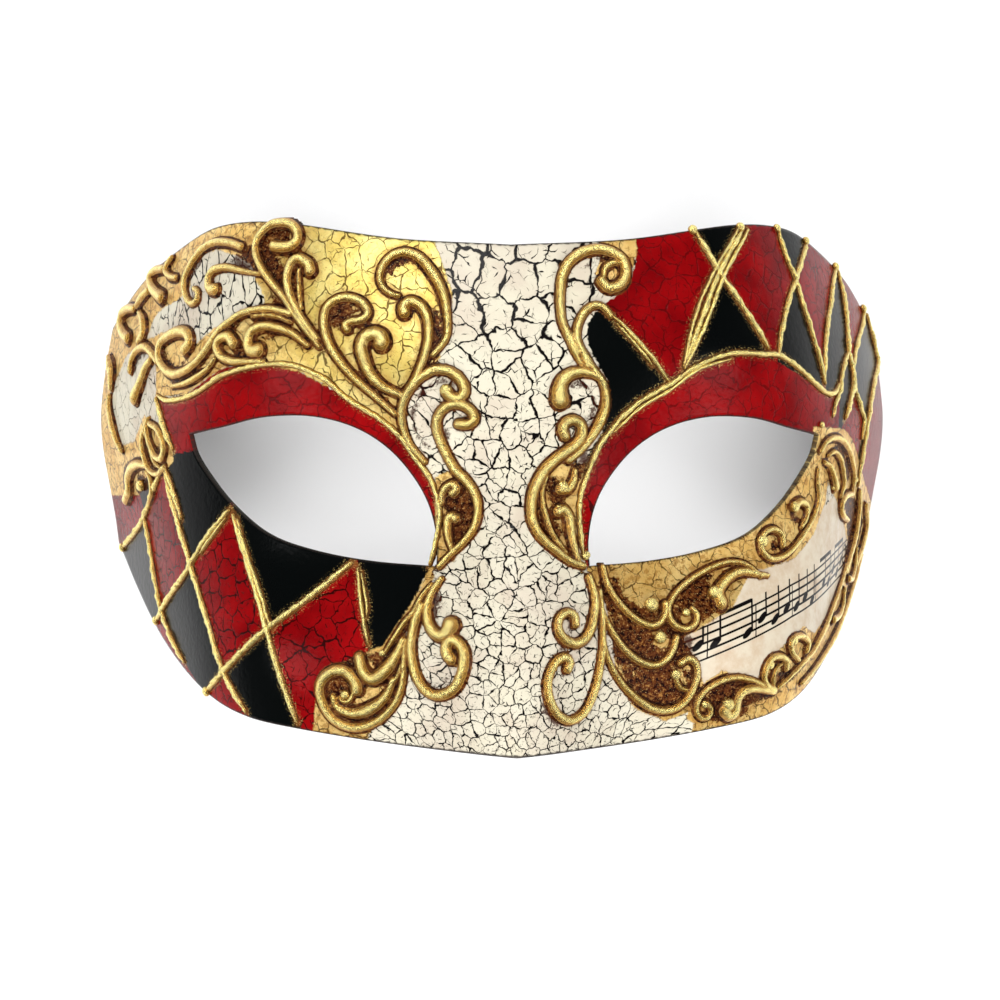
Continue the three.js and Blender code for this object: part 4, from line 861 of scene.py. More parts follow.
# grounds between the beads that were left dark
HOLLOWS = [
    [(-54.5, 52.5), (-52.5, 54), (-49.5, 55), (-47, 53.5), (-47, 52), (-49, 51.5), (-51.5, 51.5), (-52, 50),
     (-50.5, 49), (-47.5, 46), (-47, 41.5), (-49, 42), (-52.5, 45.5), (-54, 49)],
    [(-63, 48.5), (-58.5, 49.5), (-56.5, 51), (-54.5, 48), (-54, 46), (-57, 46), (-60, 47)],
    [(-49.5, 40), (-46.5, 38.5), (-45.5, 37), (-48.5, 38)],
    [(-36, 34.5), (-35.5, 37), (-34, 38), (-32.5, 38), (-31, 37), (-33, 36), (-34, 34.5), (-34.5, 33.5)],
    [(-25, 45), (-24, 46.5), (-21.5, 47.5), (-19.5, 46.5), (-21.5, 46.5), (-23.5, 45.5), (-24, 44)],
    [(-15.5, 37), (-14.5, 35), (-14, 32), (-14.5, 30), (-15, 33)],
    [(-62, 33.5), (-60.5, 35), (-58, 35), (-58.5, 33.5)],
    [(-58, 32), (-56.5, 30.5), (-54.5, 28.5), (-57, 27.5), (-58.5, 28), (-57, 30)],
    [(-51, 32), (-49, 33), (-46.5, 32.5), (-49, 32)],
    [(-49.5, 36), (-47, 35.5), (-45, 34), (-47.5, 34.5)],
    [(-85.5, 30.5), (-83.5, 29), (-79.5, 27), (-75.5, 28), (-78.5, 27), (-83, 27.5), (-85.5, 29)],
    [(-72.5, 49.5), (-74.5, 47.5), (-77, 45.5), (-79, 45), (-78.5, 47.5), (-75.5, 49.5)],
    [(-105, 27.5), (-106, 29.5), (-102, 31), (-96, 31.5), (-95, 31), (-100, 30), (-101.5, 28.5),
     (-101.5, 27)],
    [(-94.5, 26.5), (-95, 28.5), (-91.5, 28.5), (-90.5, 28.5), (-93, 27.5), (-92.5, 26)],
    [(-93, 16.5), (-90.5, 16), (-88.5, 14.5), (-92, 15.5)],
    [(-90, 11.5), (-87.5, 11), (-87, 9.5), (-89, 10)],
    [(-98, 12.5), (-95.5, 12), (-94.5, 10.5), (-93, 9), (-91.5, 6), (-94, 6), (-96, 7.5), (-96.5, 10)],
    [(-116, 2.5), (-113, 6.5), (-109, 8), (-101, 8.5), (-109.5, 7), (-113, 3.5)],
    [(-102, 5.5), (-96, 4.5), (-95.5, 3), (-98.5, 1.5), (-104, 1.5), (-106, 2.5)],
    [(-19, 13.5), (-20, 16.5), (-19, 19), (-18, 21.5), (-16, 23), (-14, 24), (-12, 23.5), (-11, 22),
     (-11, 21.5), (-12.5, 22.5), (-14.5, 22.5), (-16.5, 21.5), (-18, 19), (-19, 16.5), (-18.5, 13.5),
     (-17, 11.5), (-15.5, 10), (-16, 9.5), (-18, 11)],
    [(-14, 13.5), (-13, 14), (-12, 14), (-12.5, 12.5), (-12.5, 9.5), (-13.5, 10.5)],
    [(-13.5, 2), (-12, 3.5), (-10, 3.5), (-9, 1.5), (-8, -1), (-8, -4.5), (-9.5, -8), (-11, -9.5), (-12, -8),
     (-11, -4), (-13, -1.5), (-14, 0)],
    [(-15.5, -14.5), (-14.5, -11.5), (-13, -11), (-14, -13), (-15, -14.5)],
    [(-36, -35.5), (-34.5, -34.5), (-32.5, -35.5), (-32, -37), (-33.5, -36.5), (-34.5, -36.5), (-35, -38),
     (-34.5, -39.5), (-36, -39), (-37, -37.5)],
    [(-34.5, -31.5), (-32, -30.5), (-30.5, -30), (-31, -32.5), (-30, -35), (-29, -36), (-30.5, -36),
     (-32, -34), (-33.5, -32.5)],
    [(-28, -30), (-25, -29), (-23.5, -28), (-23.5, -30), (-24.5, -31.5), (-26, -33), (-27, -32)],
    [(-12.5, -28.5), (-11.5, -28), (-10.5, -28.5), (-11, -29.5), (-12, -29.5)],
    [(-18, -33), (-17, -34.5), (-15, -35), (-13, -34), (-12, -32.5), (-12.5, -34), (-14.5, -35.5),
     (-17, -35.5), (-18, -34.5)],
    [(-16, -18.5), (-14.5, -17.5), (-13, -18.5), (-14, -20), (-14.5, -22), (-15, -24), (-15.5, -23),
     (-16, -21)],
    [(14.5, 45.5), (16, 47), (18, 48), (20.5, 48), (22, 46.5), (20, 47), (18, 47), (16.5, 46), (15, 45)],
    [(11, 22), (11.5, 23), (13.5, 23.5), (15, 22), (16, 20), (15, 21), (13.5, 22), (12.5, 22), (11.5, 21)],
    [(15, 22), (16, 20), (16.5, 18), (16, 15.5), (14.5, 13), (13.5, 11.5), (14.5, 14), (15, 16.5),
     (15.5, 19)],
    [(9.5, 14), (10.5, 14), (10.5, 13), (10, 13)],
    [(7, 4), (8, 4), (9, 3), (8, 1.5), (9.5, 0.5), (9, -1), (7.5, -0.5), (7, 1)],
    [(7, -4), (8.5, -4.5), (9, -6), (9, -8.5), (8, -7.5), (7, -6)],
    [(3.5, -3), (5, -4), (6, -6), (6.5, -8.5), (5, -7), (4, -5.5)],
    [(13, 8.5), (14.5, 10), (15, 8.5), (14, 6), (13, 4), (12.5, 6)],
    [(10, -23), (11, -22.5), (12, -24), (11, -25), (10, -25)],
    [(7.5, -25.5), (9, -25.5), (9.5, -27), (10, -28.5), (9, -28.5), (8, -27)],
    [(8.5, -32), (9.5, -32), (9.5, -33.5), (8.5, -33.5)],
    [(5, -36), (6, -38.5), (7.5, -40.5), (9.5, -42.5), (8.5, -43), (6.5, -42), (5, -40)],
    [(17, -16), (18, -17.5), (19, -20), (20.5, -21.5), (20, -23), (18.5, -21.5), (18, -20.5), (17.5, -19)],
    [(19, -15), (20.5, -15.5), (21, -18), (23, -20), (26, -21.5), (27.5, -22.5), (29, -22), (29, -23),
     (27.5, -23.5), (25, -22.5), (22.5, -21), (20.5, -19)],
    [(19.5, -23), (21.5, -23), (25, -25), (27.5, -26), (27.5, -28.5), (30, -29), (29, -30.5), (26.5, -31),
     (24, -30), (21.5, -27.5), (20, -25)],
    [(18.5, -26), (19.5, -28), (21, -30), (23.5, -32), (26, -33), (28, -33.5), (26, -34), (23.5, -33),
     (20.5, -31), (19, -29)],
    [(21, -31.5), (24, -34), (27, -34), (30, -32.5), (32, -32), (31.5, -35), (34.5, -37), (35.5, -35.5),
     (35, -38.5), (32, -40), (29, -40), (26, -38.5), (23, -35.5)],
    [(29, -20), (32, -21), (33, -24), (35, -26), (36.5, -27.5), (35.5, -29.5), (33, -31), (31, -32),
     (31, -29), (31.5, -27), (29.5, -25.5)],
    [(34.5, -33.5), (35.5, -33.5), (36, -35), (35, -35)],
    [(33, -19.5), (34, -17.5), (36, -16.5), (38, -15), (40.5, -14.5), (39, -16), (40, -18), (38.5, -19.5),
     (37.5, -20.5), (35.5, -20.5), (34, -21), (33, -23.5), (32.5, -22)],
    [(37.5, -19.5), (40, -20), (42, -21), (39.5, -22.5), (38, -23.5)],
    [(56, -8.5), (57.5, -8.5), (57.5, -10), (56, -10)],
    [(61, -1), (62.5, -2), (64, -3.5), (67, -4.5), (64, -4.5), (62, -3)],
    [(40, -38.5), (41, -37), (43.5, -36), (46, -36), (49, -36), (47.5, -37.5), (45.5, -38.5), (43.5, -39),
     (43, -40.5), (43.5, -42.5), (41.5, -43.5), (41.5, -41), (40.5, -39.5)],
    [(48.5, -40), (49.5, -39), (52, -38.5), (55, -38), (58.5, -38.5), (56, -39), (52, -39.5), (50, -40.5),
     (49.5, -42.5), (48.5, -43)],
    [(57.5, -35), (59.5, -34.5), (63, -34), (66.5, -33), (70.5, -32), (70, -33.5), (66, -35), (62.5, -36.5),
     (60, -37), (58, -36.5)],
    [(53, -34.5), (55.5, -35.5), (56, -37.5), (54, -37)],
    [(81.5, 11), (87, 11.5), (89.5, 9.5), (94, 7), (96, 4.5), (91.5, 5), (87, 7.5), (84.5, 9.5)],
    [(79, 7), (82.5, 6.5), (85, 4), (85, 3), (82, 3.5), (81, 5)],
    [(91, 0), (97, 0), (98, -1.5), (91.5, -1.5)],
    [(74.5, -36), (83.5, -32.5), (92, -28.5), (99.5, -23.5), (106, -18.5), (116, -20), (109, -24.5),
     (98, -30), (84, -34)],
    [(94, 0), (102, 0.5), (113, -1.5), (120, -5), (117, -9), (110, -12.5), (102, -14.5), (98.5, -12),
     (102, -8.5), (98.5, -4.5)],
]
EDGES = [FOREHEAD_EDGE, CHEEK_EDGE, UPPER_LID, LOWER_LID]
EDGE_REACH = 2.0
PAINT_STEP, LATTICE_STEP, PAST_END = 0.6, 4, 200
# crackle islands for each millimetre: at heights on the face, and the even number past the nose's reach
ISLAND_HEIGHTS = [-48, -40, -25, 0, 15, 30, 50]
ISLAND_COUNTS = [0.50, 0.43, 0.37, 0.31, 0.26, 0.20, 0.15]
NOSE_REACH, SIDE_COUNT = 25, 0.27
HEIGHT_RANGE = np.linspace(-60, 70, 261)
# the staff: the foot of its lowest line, and the space between two lines, in which the rest is counted
STAFF_FOOT = [(28, -34.5), (37.5, -31.5), (54, -26), (62, -23.5), (88, -17.5), (110, -13)]
STAFF_SPACE = 1.6
STAFF_TOP = 4
LINE_HALF, BAR_HALF = 0.15, 0.09
# each note has a cell; its head's middle stands so far along it, and its stem so far past that
NOTE_CELL, HEAD_AT, STEM_AT = 2.4, 0.9, 0.66
HEAD_HALF, HEAD_SLANT = (0.80, 0.52), 0.35
# three notes can share a beam, from one height to another and from one place along to another; then a bar
STEM_TOP = 4.9
BEAM_UP, BEAM_ALONG, BAR_AT = (4.5, 5.0), (1.4, 6.35), 7.0
GROUP_NOTES, GROUP_SEED = 3, 17.5
# a head stands at one of some heights, and these shares of notes and of beams are left out
HEAD_PLACES, HEAD_RISE = 5.0, 0.5
UNWRITTEN, UNBEAMED = 0.15, 0.4
# the round sign is a ring with a dot in it
SIGN_AT, SIGN_RADIUS, SIGN_HALF = (44.0, 2.4, 0.0), 1.2, 0.16
DOT_AT, DOT_HALF = (44.6, 3.0), (0.42, 0.42)
# lacquer colours: cream, paper and red have two tones each
CREAM = (0.59, 0.545, 0.420, 1), (0.52, 0.440, 0.345, 1)
CREAM_ISLAND = (0.64, 0.61, 0.505, 1)
MUSIC_PAPER = (0.60, 0.53, 0.41, 1), (0.50, 0.385, 0.27, 1)
INK = (0.004, 0.003, 0.003, 1)
RED = (0.235, 0.002, 0.003, 1), (0.14, 0.001, 0.002, 1)
RED_CRACK = (0.022, 0.001, 0.001, 1)
BLACK = (0.0015, 0.002, 0.002, 1)
# gold leaf colours: deep and pale, and the brown that is rubbed in, at its edge and in hollows, with the
# deepest umber as painted shade at the beads' feet
GOLD = (0.84, 0.55, 0.16, 1), (1.0, 0.77, 0.30, 1)
LEMON_GOLD = (0.68, 0.51, 0.13, 1), (0.78, 0.65, 0.23, 1)
AMBER = (0.38, 0.17, 0.035, 1)
LEAF_CRACK = (0.075, 0.032, 0.006, 1)
DARK_SPECK, GOLD_DUST = (0.30, 0.11, 0.02, 1), (0.85, 0.58, 0.24, 1)
UMBER_EDGE, UMBER_DEEP_SHADE = (0.075, 0.014, 0.002, 1), (0.010, 0.001, 0.0, 1)
UMBER, UMBER_GLOW = ((0.006, 0.0, 0.0, 1), (0.085, 0.022, 0.005, 1)), (0.38, 0.18, 0.042, 1)
# middle of the lemon tint, a painted highlight for the light that glares on the forehead's leaf
LEMON_HIGHLIGHT_MIDDLE = (-27.0, 40.0, 0.0)
# wear over all of them: brown beside the beads, stain with painted shade at their feet, brown in hollows,
# gold flakes, and the dark cut edge
STAIN_AND_SHADE, DEEP_STAIN = (0.16, 0.062, 0.016, 1), (0.040, 0.010, 0.006, 1)
GOLD_FLAKE = (0.85, 0.60, 0.20, 1)
CUT_DARK = (0.020, 0.016, 0.014, 1)
# crack widths in islands; the cream's grow from the left temple, between two places along u, to the rest
TEMPLE_CRACKS, CREAM_CRACKS, RED_CRACKS, LEAF_CRACKS = 0.014, 0.050, 0.04, 0.032
CREAM_CRACKS_FROM, CREAM_CRACKS_TO = -96.0, -80.0
LEAST_CRACK = 0.0001
# islands for each millimetre
RED_COUNT, LEAF_COUNT = 0.26, 0.27
LEAF_METAL = 0.58
VARNISH_SHINE = 0.06


def inside_distance(places, outline):
    """Distance to an outline, positive inside it: the least distance to its sides, with the sign from how
    many sides a ray to the right crosses."""
    start = np.array(outline, float)
    side = np.roll(start, -1, axis=0) - start
    offset = places[:, None] - start
    share = np.clip((offset * side).sum(-1) / (side**2).sum(-1), 0, 1)
    distance = np.linalg.norm(offset - share[..., None] * side, axis=-1).min(1)
    above = places[:, None, 1] > start[:, 1]
    next_above = places[:, None, 1] > np.roll(start, -1, axis=0)[:, 1]
    slope = np.where(side[:, 1] == 0, TINY, side[:, 1])
    crossing = start[:, 0] + side[:, 0] * offset[..., 1] / slope
    crossings = ((above != next_above) & (places[:, None, 0] < crossing)).sum(1)
    return np.where(crossings % 2 == 1, distance, -distance)


def outlines_distance(places, outlines):
    """The greatest of the distances to some outlines, at least minus the limit."""
    greatest = np.full(len(places), -GAP_LIMIT)
    for outline in outlines:
        near = about(places, outline, GAP_LIMIT)
        greatest[near] = np.maximum(greatest[near], inside_distance(places[near], outline))
    return greatest


def side_distance(places, line):
    """Distance to a line that runs on straight past its ends, positive on its left: the least distance to
    its parts, with the sign of the nearest part's cross product."""
    line = curve_through(line, LATTICE_STEP)
    before, after = long_one(line[0] - line[1]) * PAST_END, long_one(line[-1] - line[-2]) * PAST_END
    line = np.vstack([line[0] + before, line, line[-1] + after])
    start, part = line[:-1], np.diff(line, axis=0)
    offset = places[:, None] - start
    share = np.clip((offset * part).sum(-1) / (part**2).sum(-1), 0, 1)
    away = offset - share[..., None] * part
    distance = np.linalg.norm(away, axis=-1)
    nearest = distance.argmin(1)[:, None]
    cross = part[:, 0] * offset[..., 1] - part[:, 1] * offset[..., 0]
    return np.take_along_axis(distance * np.sign(cross), nearest, 1)[:, 0]


def lattice_distance(places, lattice):
    """Distance to the nearest line of a lattice, with the product of all the lines' side signs, so that it
    changes sign at every line."""
    sides = np.stack([side_distance(places, line) for line, _ in lattice])
    return np.abs(sides).min(0) * np.sign(sides).prod(0)


def relief_distance(places, routes, reach=GAP_LIMIT):
    """Distance to the foot of the nearest bead, at most the reach."""
    least = np.full(len(places), reach)
    for route, half in routes:
        fine = curve_through(route, PAINT_STEP)
        near = about(places, fine, half + reach)
        gap = np.linalg.norm(places[near, None] - fine, axis=-1).min(1) - half
        least[near] = np.minimum(least[near], gap)
    return least


def crackle_place(places):
    """Places counted in crackle islands: v is the sum of the islands for each millimetre up the face. Near
    the nose u is stretched by the same number, and further out by an even one."""
    count = np.interp(HEIGHT_RANGE, ISLAND_HEIGHTS, ISLAND_COUNTS)
    up = np.interp(places[:, 1], HEIGHT_RANGE, np.cumsum(count) * (HEIGHT_RANGE[1] - HEIGHT_RANGE[0]))
    near = np.clip(places[:, 0], -NOSE_REACH, NOSE_REACH)
    across = near * np.interp(places[:, 1], HEIGHT_RANGE, count) + (places[:, 0] - near) * SIDE_COUNT
    return np.stack([across, up, 0 * up], -1)


def staff_place(places):
    """Places counted in staff spaces: along the strip, and up from the lowest line of the staff."""
    foot_u, foot_v = np.transpose(STAFF_FOOT)
    up = places[:, 1] - np.interp(places[:, 0], foot_u, foot_v)
    return np.stack([places[:, 0] - foot_u[0], up, 0 * up], -1) / STAFF_SPACE


def grid_value(field, places):
    """A field of the scrolls' grid at the cell nearest to each place."""
    start, last = [GRID_U[0], GRID_V[0]], np.array(field.shape) - 1
    column, row = np.clip(np.rint((places - start) / SCROLL_STEP), 0, last).astype(int).T
    return field[column, row]


def keep_on_shell(name, values):
    """Keeps values of the painted points on the shell; its other points get 0."""
    whole = np.zeros((len(shell_places),) + values.shape[1:])
    whole[on_outer_face] = values
    point_values(shell, name, whole)


painted_places = shell_places[on_outer_face]
folded_places = np.abs(painted_places[:, :1]) * [1, 0] + painted_places * [0, 1]
for field_name, outlines in FIELDS.items():
    keep_on_shell(field_name, outlines_distance(painted_places, outlines))
keep_on_shell("diamond", np.where(painted_places[:, 0] < 0, lattice_distance(painted_places, LEFT_LATTICE),
                                  lattice_distance(painted_places, RIGHT_LATTICE)))
keep_on_shell("scroll_gap", moulded(painted_places)[1])
keep_on_shell("enclosed_shade", grid_value(grid_enclosed_shade, painted_places))
keep_on_shell("line_gap", relief_distance(painted_places, drawn_lines))
keep_on_shell("edge_gap", relief_distance(folded_places, [(edge, 0) for edge in EDGES], EDGE_REACH))
keep_on_shell("hollow", outlines_distance(painted_places, HOLLOWS))
keep_on_shell("crackle", crackle_place(painted_places))
keep_on_shell("staff", staff_place(painted_places))


def group_tree(name, inputs, outputs):
    """A shader node group with its named sockets, and the nodes of its two ends."""
    tree = bpy.data.node_groups.new(name, "ShaderNodeTree")
    for way, sockets in (("INPUT", inputs), ("OUTPUT", outputs)):
        for socket, kind in sockets.items():
            tree.interface.new_socket(socket, in_out=way, socket_type="NodeSocket" + kind)
    return tree, tree.nodes.new("NodeGroupInput").outputs, tree.nodes.new("NodeGroupOutput").inputs


def use(tree, group, inputs):
    """A group placed in a tree, with what feeds it."""
    return put(tree, "Group", inputs, node_tree=group).outputs


def plus(tree, first, second):
    """Their sum."""
    return calc(tree, "ADD", first, second)


def less(tree, first, second):
    """Their difference."""
    return calc(tree, "SUBTRACT", first, second)


def times(tree, first, second):
    """Their product."""
    return calc(tree, "MULTIPLY", first, second)


def most(tree, first, *others):
    """The greatest of some values."""
    for other in others:
        first = calc(tree, "MAXIMUM", first, other)
    return first


def without(tree, value):
    """1 less a value."""
    return less(tree, 1.0, value)


def distance_from(tree, place, middle):
    """How far a place is from a middle."""
    return put(tree, "VectorMath", {0: place, 1: middle}, operation="DISTANCE").outputs["Value"]


def along_axis(tree, place, axis):
    """One coordinate of a place."""
    return put(tree, "SeparateXYZ", {0: place}).outputs[axis]


def uneven(tree, place, scale, detail, roughness, width):
    """Noise of a width round 0."""
    return times(tree, less(tree, grain(tree, place, scale, detail, roughness), 0.5), width)


def wandered(tree, place, scale, amount):
    """A place moved by colour noise, so that straight edges through it wander."""
    noise = put(tree, "TexNoise", {"Vector": place, "Scale": scale, "Detail": 2.0}).outputs["Color"]
    shift = vector(tree, "SCALE", vector(tree, "SUBTRACT", noise, (0.5, 0.5, 0.5)), amount)
    return vector(tree, "ADD", place, shift)


def crackle_group():
    """Crackle glaze on a plane: wandering edges of Voronoi cells that swell and thin out along their way,
    and finer ones that fade inside the islands. Puts out the cracks and a tone for each island."""
    tree, given, result = group_tree("crackle glaze", {"Place": "Vector", "Width": "Float"},
                                     {"Crack": "Float", "Tone": "Float"})
    place = wandered(tree, wandered(tree, given["Place"], 1.1, 0.75), 4.5, 0.16)

    def cracks(scale, thickness):
        cells = put(tree, "TexVoronoi", {"Vector": place, "Scale": scale},
                    feature="DISTANCE_TO_EDGE", voronoi_dimensions="2D")
        width = most(tree, times(tree, given["Width"], thickness), LEAST_CRACK)
        return ramp(tree, calc(tree, "DIVIDE", cells.outputs["Distance"], width), 0.55, 1.0, 1.0, 0.0)

    main = cracks(1.0, ramp(tree, grain(tree, given["Place"], 1.4, 2.0), 0.33, 0.66, 0.4, 1.7))
    fine = cracks(1.9, ramp(tree, grain(tree, given["Place"], 2.3, 1.0), 0.48, 0.66, 0.0, 1.2))
    hair = cracks(3.4, ramp(tree, grain(tree, given["Place"], 3.1, 1.0), 0.52, 0.70, 0.0, 1.0))
    feed(tree, result["Crack"], most(tree, main, fine, times(tree, hair, 0.6)))
    islands = put(tree, "TexVoronoi", {"Vector": place, "Scale": 1.0}, voronoi_dimensions="2D")
    feed(tree, result["Tone"], put(tree, "SeparateColor", {0: islands.outputs["Color"]}).outputs[0])
    return tree


def gold_leaf_group():
    """Gold leaf rubbed with brown: pale and deep gold in clouds, a lemon tint by its mask, dark and bright
    specks, and the brown that another mask adds, patina and painted shade together, darkest where that mask
    is highest. Puts out colour, brown share and height."""
    tree, given, result = group_tree("gold leaf", {"Place": "Vector", "Rub and shade": "Float", "Lemon": "Float"},
                                     {"Colour": "Color", "Brown": "Float", "Height": "Float"})
    place, brown_rub_and_shade = given["Place"], given["Rub and shade"]
    clouds = ramp(tree, grain(tree, place, 0.16, 5.0, 0.6), 0.38, 0.62)
    patches = grain(tree, place, 1.1, 4.0, 0.6)
    specks = grain(tree, place, 2.2, 5.0, 0.75)
    dust = grain(tree, place, 5.0, 2.0, 0.6)
    gold = blend(tree, given["Lemon"], blend(tree, clouds, *GOLD), blend(tree, clouds, *LEMON_GOLD))
    gold = blend(tree, ramp(tree, specks, 0.40, 0.34, 0.0, 0.8), gold, DARK_SPECK)
    brown = ramp(tree, plus(tree, brown_rub_and_shade, times(tree, less(tree, specks, 0.5), 1.2)), 0.42, 0.70)
    glow = most(tree, ramp(tree, patches, 0.58, 0.70, 0.0, 0.8), ramp(tree, specks, 0.57, 0.66, 0.0, 0.8))
    mottled = blend(tree, glow, blend(tree, ramp(tree, patches, 0.38, 0.56), *UMBER), UMBER_GLOW)
    umber = blend(tree, ramp(tree, brown_rub_and_shade, 0.6, 0.95), UMBER_EDGE, mottled)
    # darkest umber where painted shade at the beads' feet adds to the rub
    umber = blend(tree, ramp(tree, brown_rub_and_shade, 1.05, 1.5), umber, UMBER_DEEP_SHADE)
    umber = blend(tree, ramp(tree, dust, 0.66, 0.72), umber, GOLD_DUST)
    feed(tree, result["Colour"], blend(tree, brown, gold, umber))
    feed(tree, result["Brown"], brown)
    feed(tree, result["Height"], plus(tree, specks, times(tree, dust, 0.5)))
    return tree


def staff_group():
    """Music writing, in units of the space between two staff lines: the lines, slanting heads at heights
    drawn by chance, stems, beams over groups of three, bars, and a round sign on the staff."""
    tree, given, result = group_tree("staff", {"Along": "Float", "Up": "Float"}, {"Ink": "Float"})
    along, up = given["Along"], given["Up"]

    def stroke(distance, half):
        return ramp(tree, calc(tree, "ABSOLUTE", distance), half * 0.7, half * 1.3, 1.0, 0.0)

    def between(value, low, high):
        starts = ramp(tree, value, low - 0.05, low + 0.05)
        return times(tree, starts, ramp(tree, value, high - 0.05, high + 0.05, 1.0, 0.0))

    def blot(across, above, wide, high):
        """An ellipse round a place: 1 where the sum of the squares is under 1."""
        reach = plus(tree, calc(tree, "POWER", calc(tree, "DIVIDE", across, wide), 2.0),
                     calc(tree, "POWER", calc(tree, "DIVIDE", above, high), 2.0))
        return ramp(tree, reach, 0.8, 1.2, 1.0, 0.0)

    def chance_for(number):
        return put(tree, "TexWhiteNoise", {"W": number}, noise_dimensions="1D").outputs["Value"]

    on_staff = between(up, -0.1, STAFF_TOP + 0.1)
    staff_lines = times(tree, stroke(less(tree, up, calc(tree, "ROUND", up)), LINE_HALF), on_staff)
    cell = calc(tree, "FLOOR", calc(tree, "DIVIDE", along, NOTE_CELL))
    within = less(tree, less(tree, along, times(tree, cell, NOTE_CELL)), HEAD_AT)
    chance = chance_for(cell)
    written = calc(tree, "GREATER_THAN", chance, UNWRITTEN)
    head_line = times(tree, calc(tree, "FLOOR", times(tree, chance, HEAD_PLACES)), HEAD_RISE)
    head = blot(within, less(tree, less(tree, up, head_line), times(tree, within, HEAD_SLANT)), *HEAD_HALF)
    stem_span = times(tree, calc(tree, "GREATER_THAN", up, head_line), calc(tree, "LESS_THAN", up, STEM_TOP))
    stem = times(tree, stroke(less(tree, within, STEM_AT), LINE_HALF), stem_span)
    note = times(tree, most(tree, head, stem), written)
    group = calc(tree, "FLOOR", calc(tree, "DIVIDE", cell, GROUP_NOTES))
    beamed = calc(tree, "GREATER_THAN", chance_for(plus(tree, group, GROUP_SEED)), UNBEAMED)
    in_group = less(tree, along, times(tree, group, GROUP_NOTES * NOTE_CELL))
    beam = times(tree, times(tree, between(up, *BEAM_UP), between(in_group, *BEAM_ALONG)), beamed)
    bar = times(tree, stroke(less(tree, in_group, BAR_AT), BAR_HALF), on_staff)
    place = put(tree, "CombineXYZ", {0: along, 1: up}).outputs[0]
    ring = stroke(less(tree, distance_from(tree, place, SIGN_AT), SIGN_RADIUS), SIGN_HALF)
    dot = blot(less(tree, along, DOT_AT[0]), less(tree, up, DOT_AT[1]), *DOT_HALF)
    feed(tree, result["Ink"], calc(tree, "MINIMUM", 1.0, most(tree, staff_lines, note, beam, bar, ring, dot)))
    return tree


crackle_glaze = crackle_group()
gold_leaf = gold_leaf_group()


def field_value(tree, name, output="Fac"):
    """One of the piece's point values as a socket."""
    return put(tree, "Attribute", attribute_name=name).outputs[output]


def field_mask(tree, name, noise, soft=0.15):
    """1 inside a field and 0 outside it, past an edge that noise makes uneven."""
    return ramp(tree, plus(tree, field_value(tree, name), noise), -soft, soft)


def cream_coat(tree, body, flat):
    """Cream lacquer: clouds of two tones, islands of a third and dark cracks, finer on the left temple.
    Gives the colour and the height."""
    across = along_axis(tree, flat, 0)
    width = ramp(tree, across, CREAM_CRACKS_FROM, CREAM_CRACKS_TO, TEMPLE_CRACKS, CREAM_CRACKS)
    cracks = use(tree, crackle_glaze, {"Place": field_value(tree, "crackle", "Vector"), "Width": width})
    cream = blend(tree, ramp(tree, grain(tree, body, 0.08, 4.0), 0.4, 0.68), *CREAM)
    cream = blend(tree, times(tree, cracks["Tone"], 0.4), cream, CREAM_ISLAND)
    return blend(tree, cracks["Crack"], cream, INK), times(tree, cracks["Crack"], -1.0)


def music_paper(tree, body):
    """Music paper of two tones with its writing in ink."""
    paper = blend(tree, ramp(tree, grain(tree, body, 0.2, 5.0, 0.65), 0.35, 0.7), *MUSIC_PAPER)
    staff = field_value(tree, "staff", "Vector")
    writing = {"Along": along_axis(tree, staff, 0), "Up": along_axis(tree, staff, 1)}
    return blend(tree, use(tree, staff_group(), writing)["Ink"], paper, INK)


def red_coat(tree, body, flat):
    """Red lacquer of two tones with crackle that grows fainter up the face. Gives the colour and the
    height."""
    islands = {"Place": vector(tree, "SCALE", flat, RED_COUNT), "Width": RED_CRACKS}
    cracks = use(tree, crackle_glaze, islands)["Crack"]
    cracks = times(tree, cracks, ramp(tree, along_axis(tree, flat, 1), -4.0, 6.0, 1.0, 0.55))
    red = blend(tree, ramp(tree, grain(tree, body, 0.12, 3.0), 0.3, 0.7), *RED)
    return blend(tree, cracks, red, RED_CRACK), times(tree, cracks, -0.6)


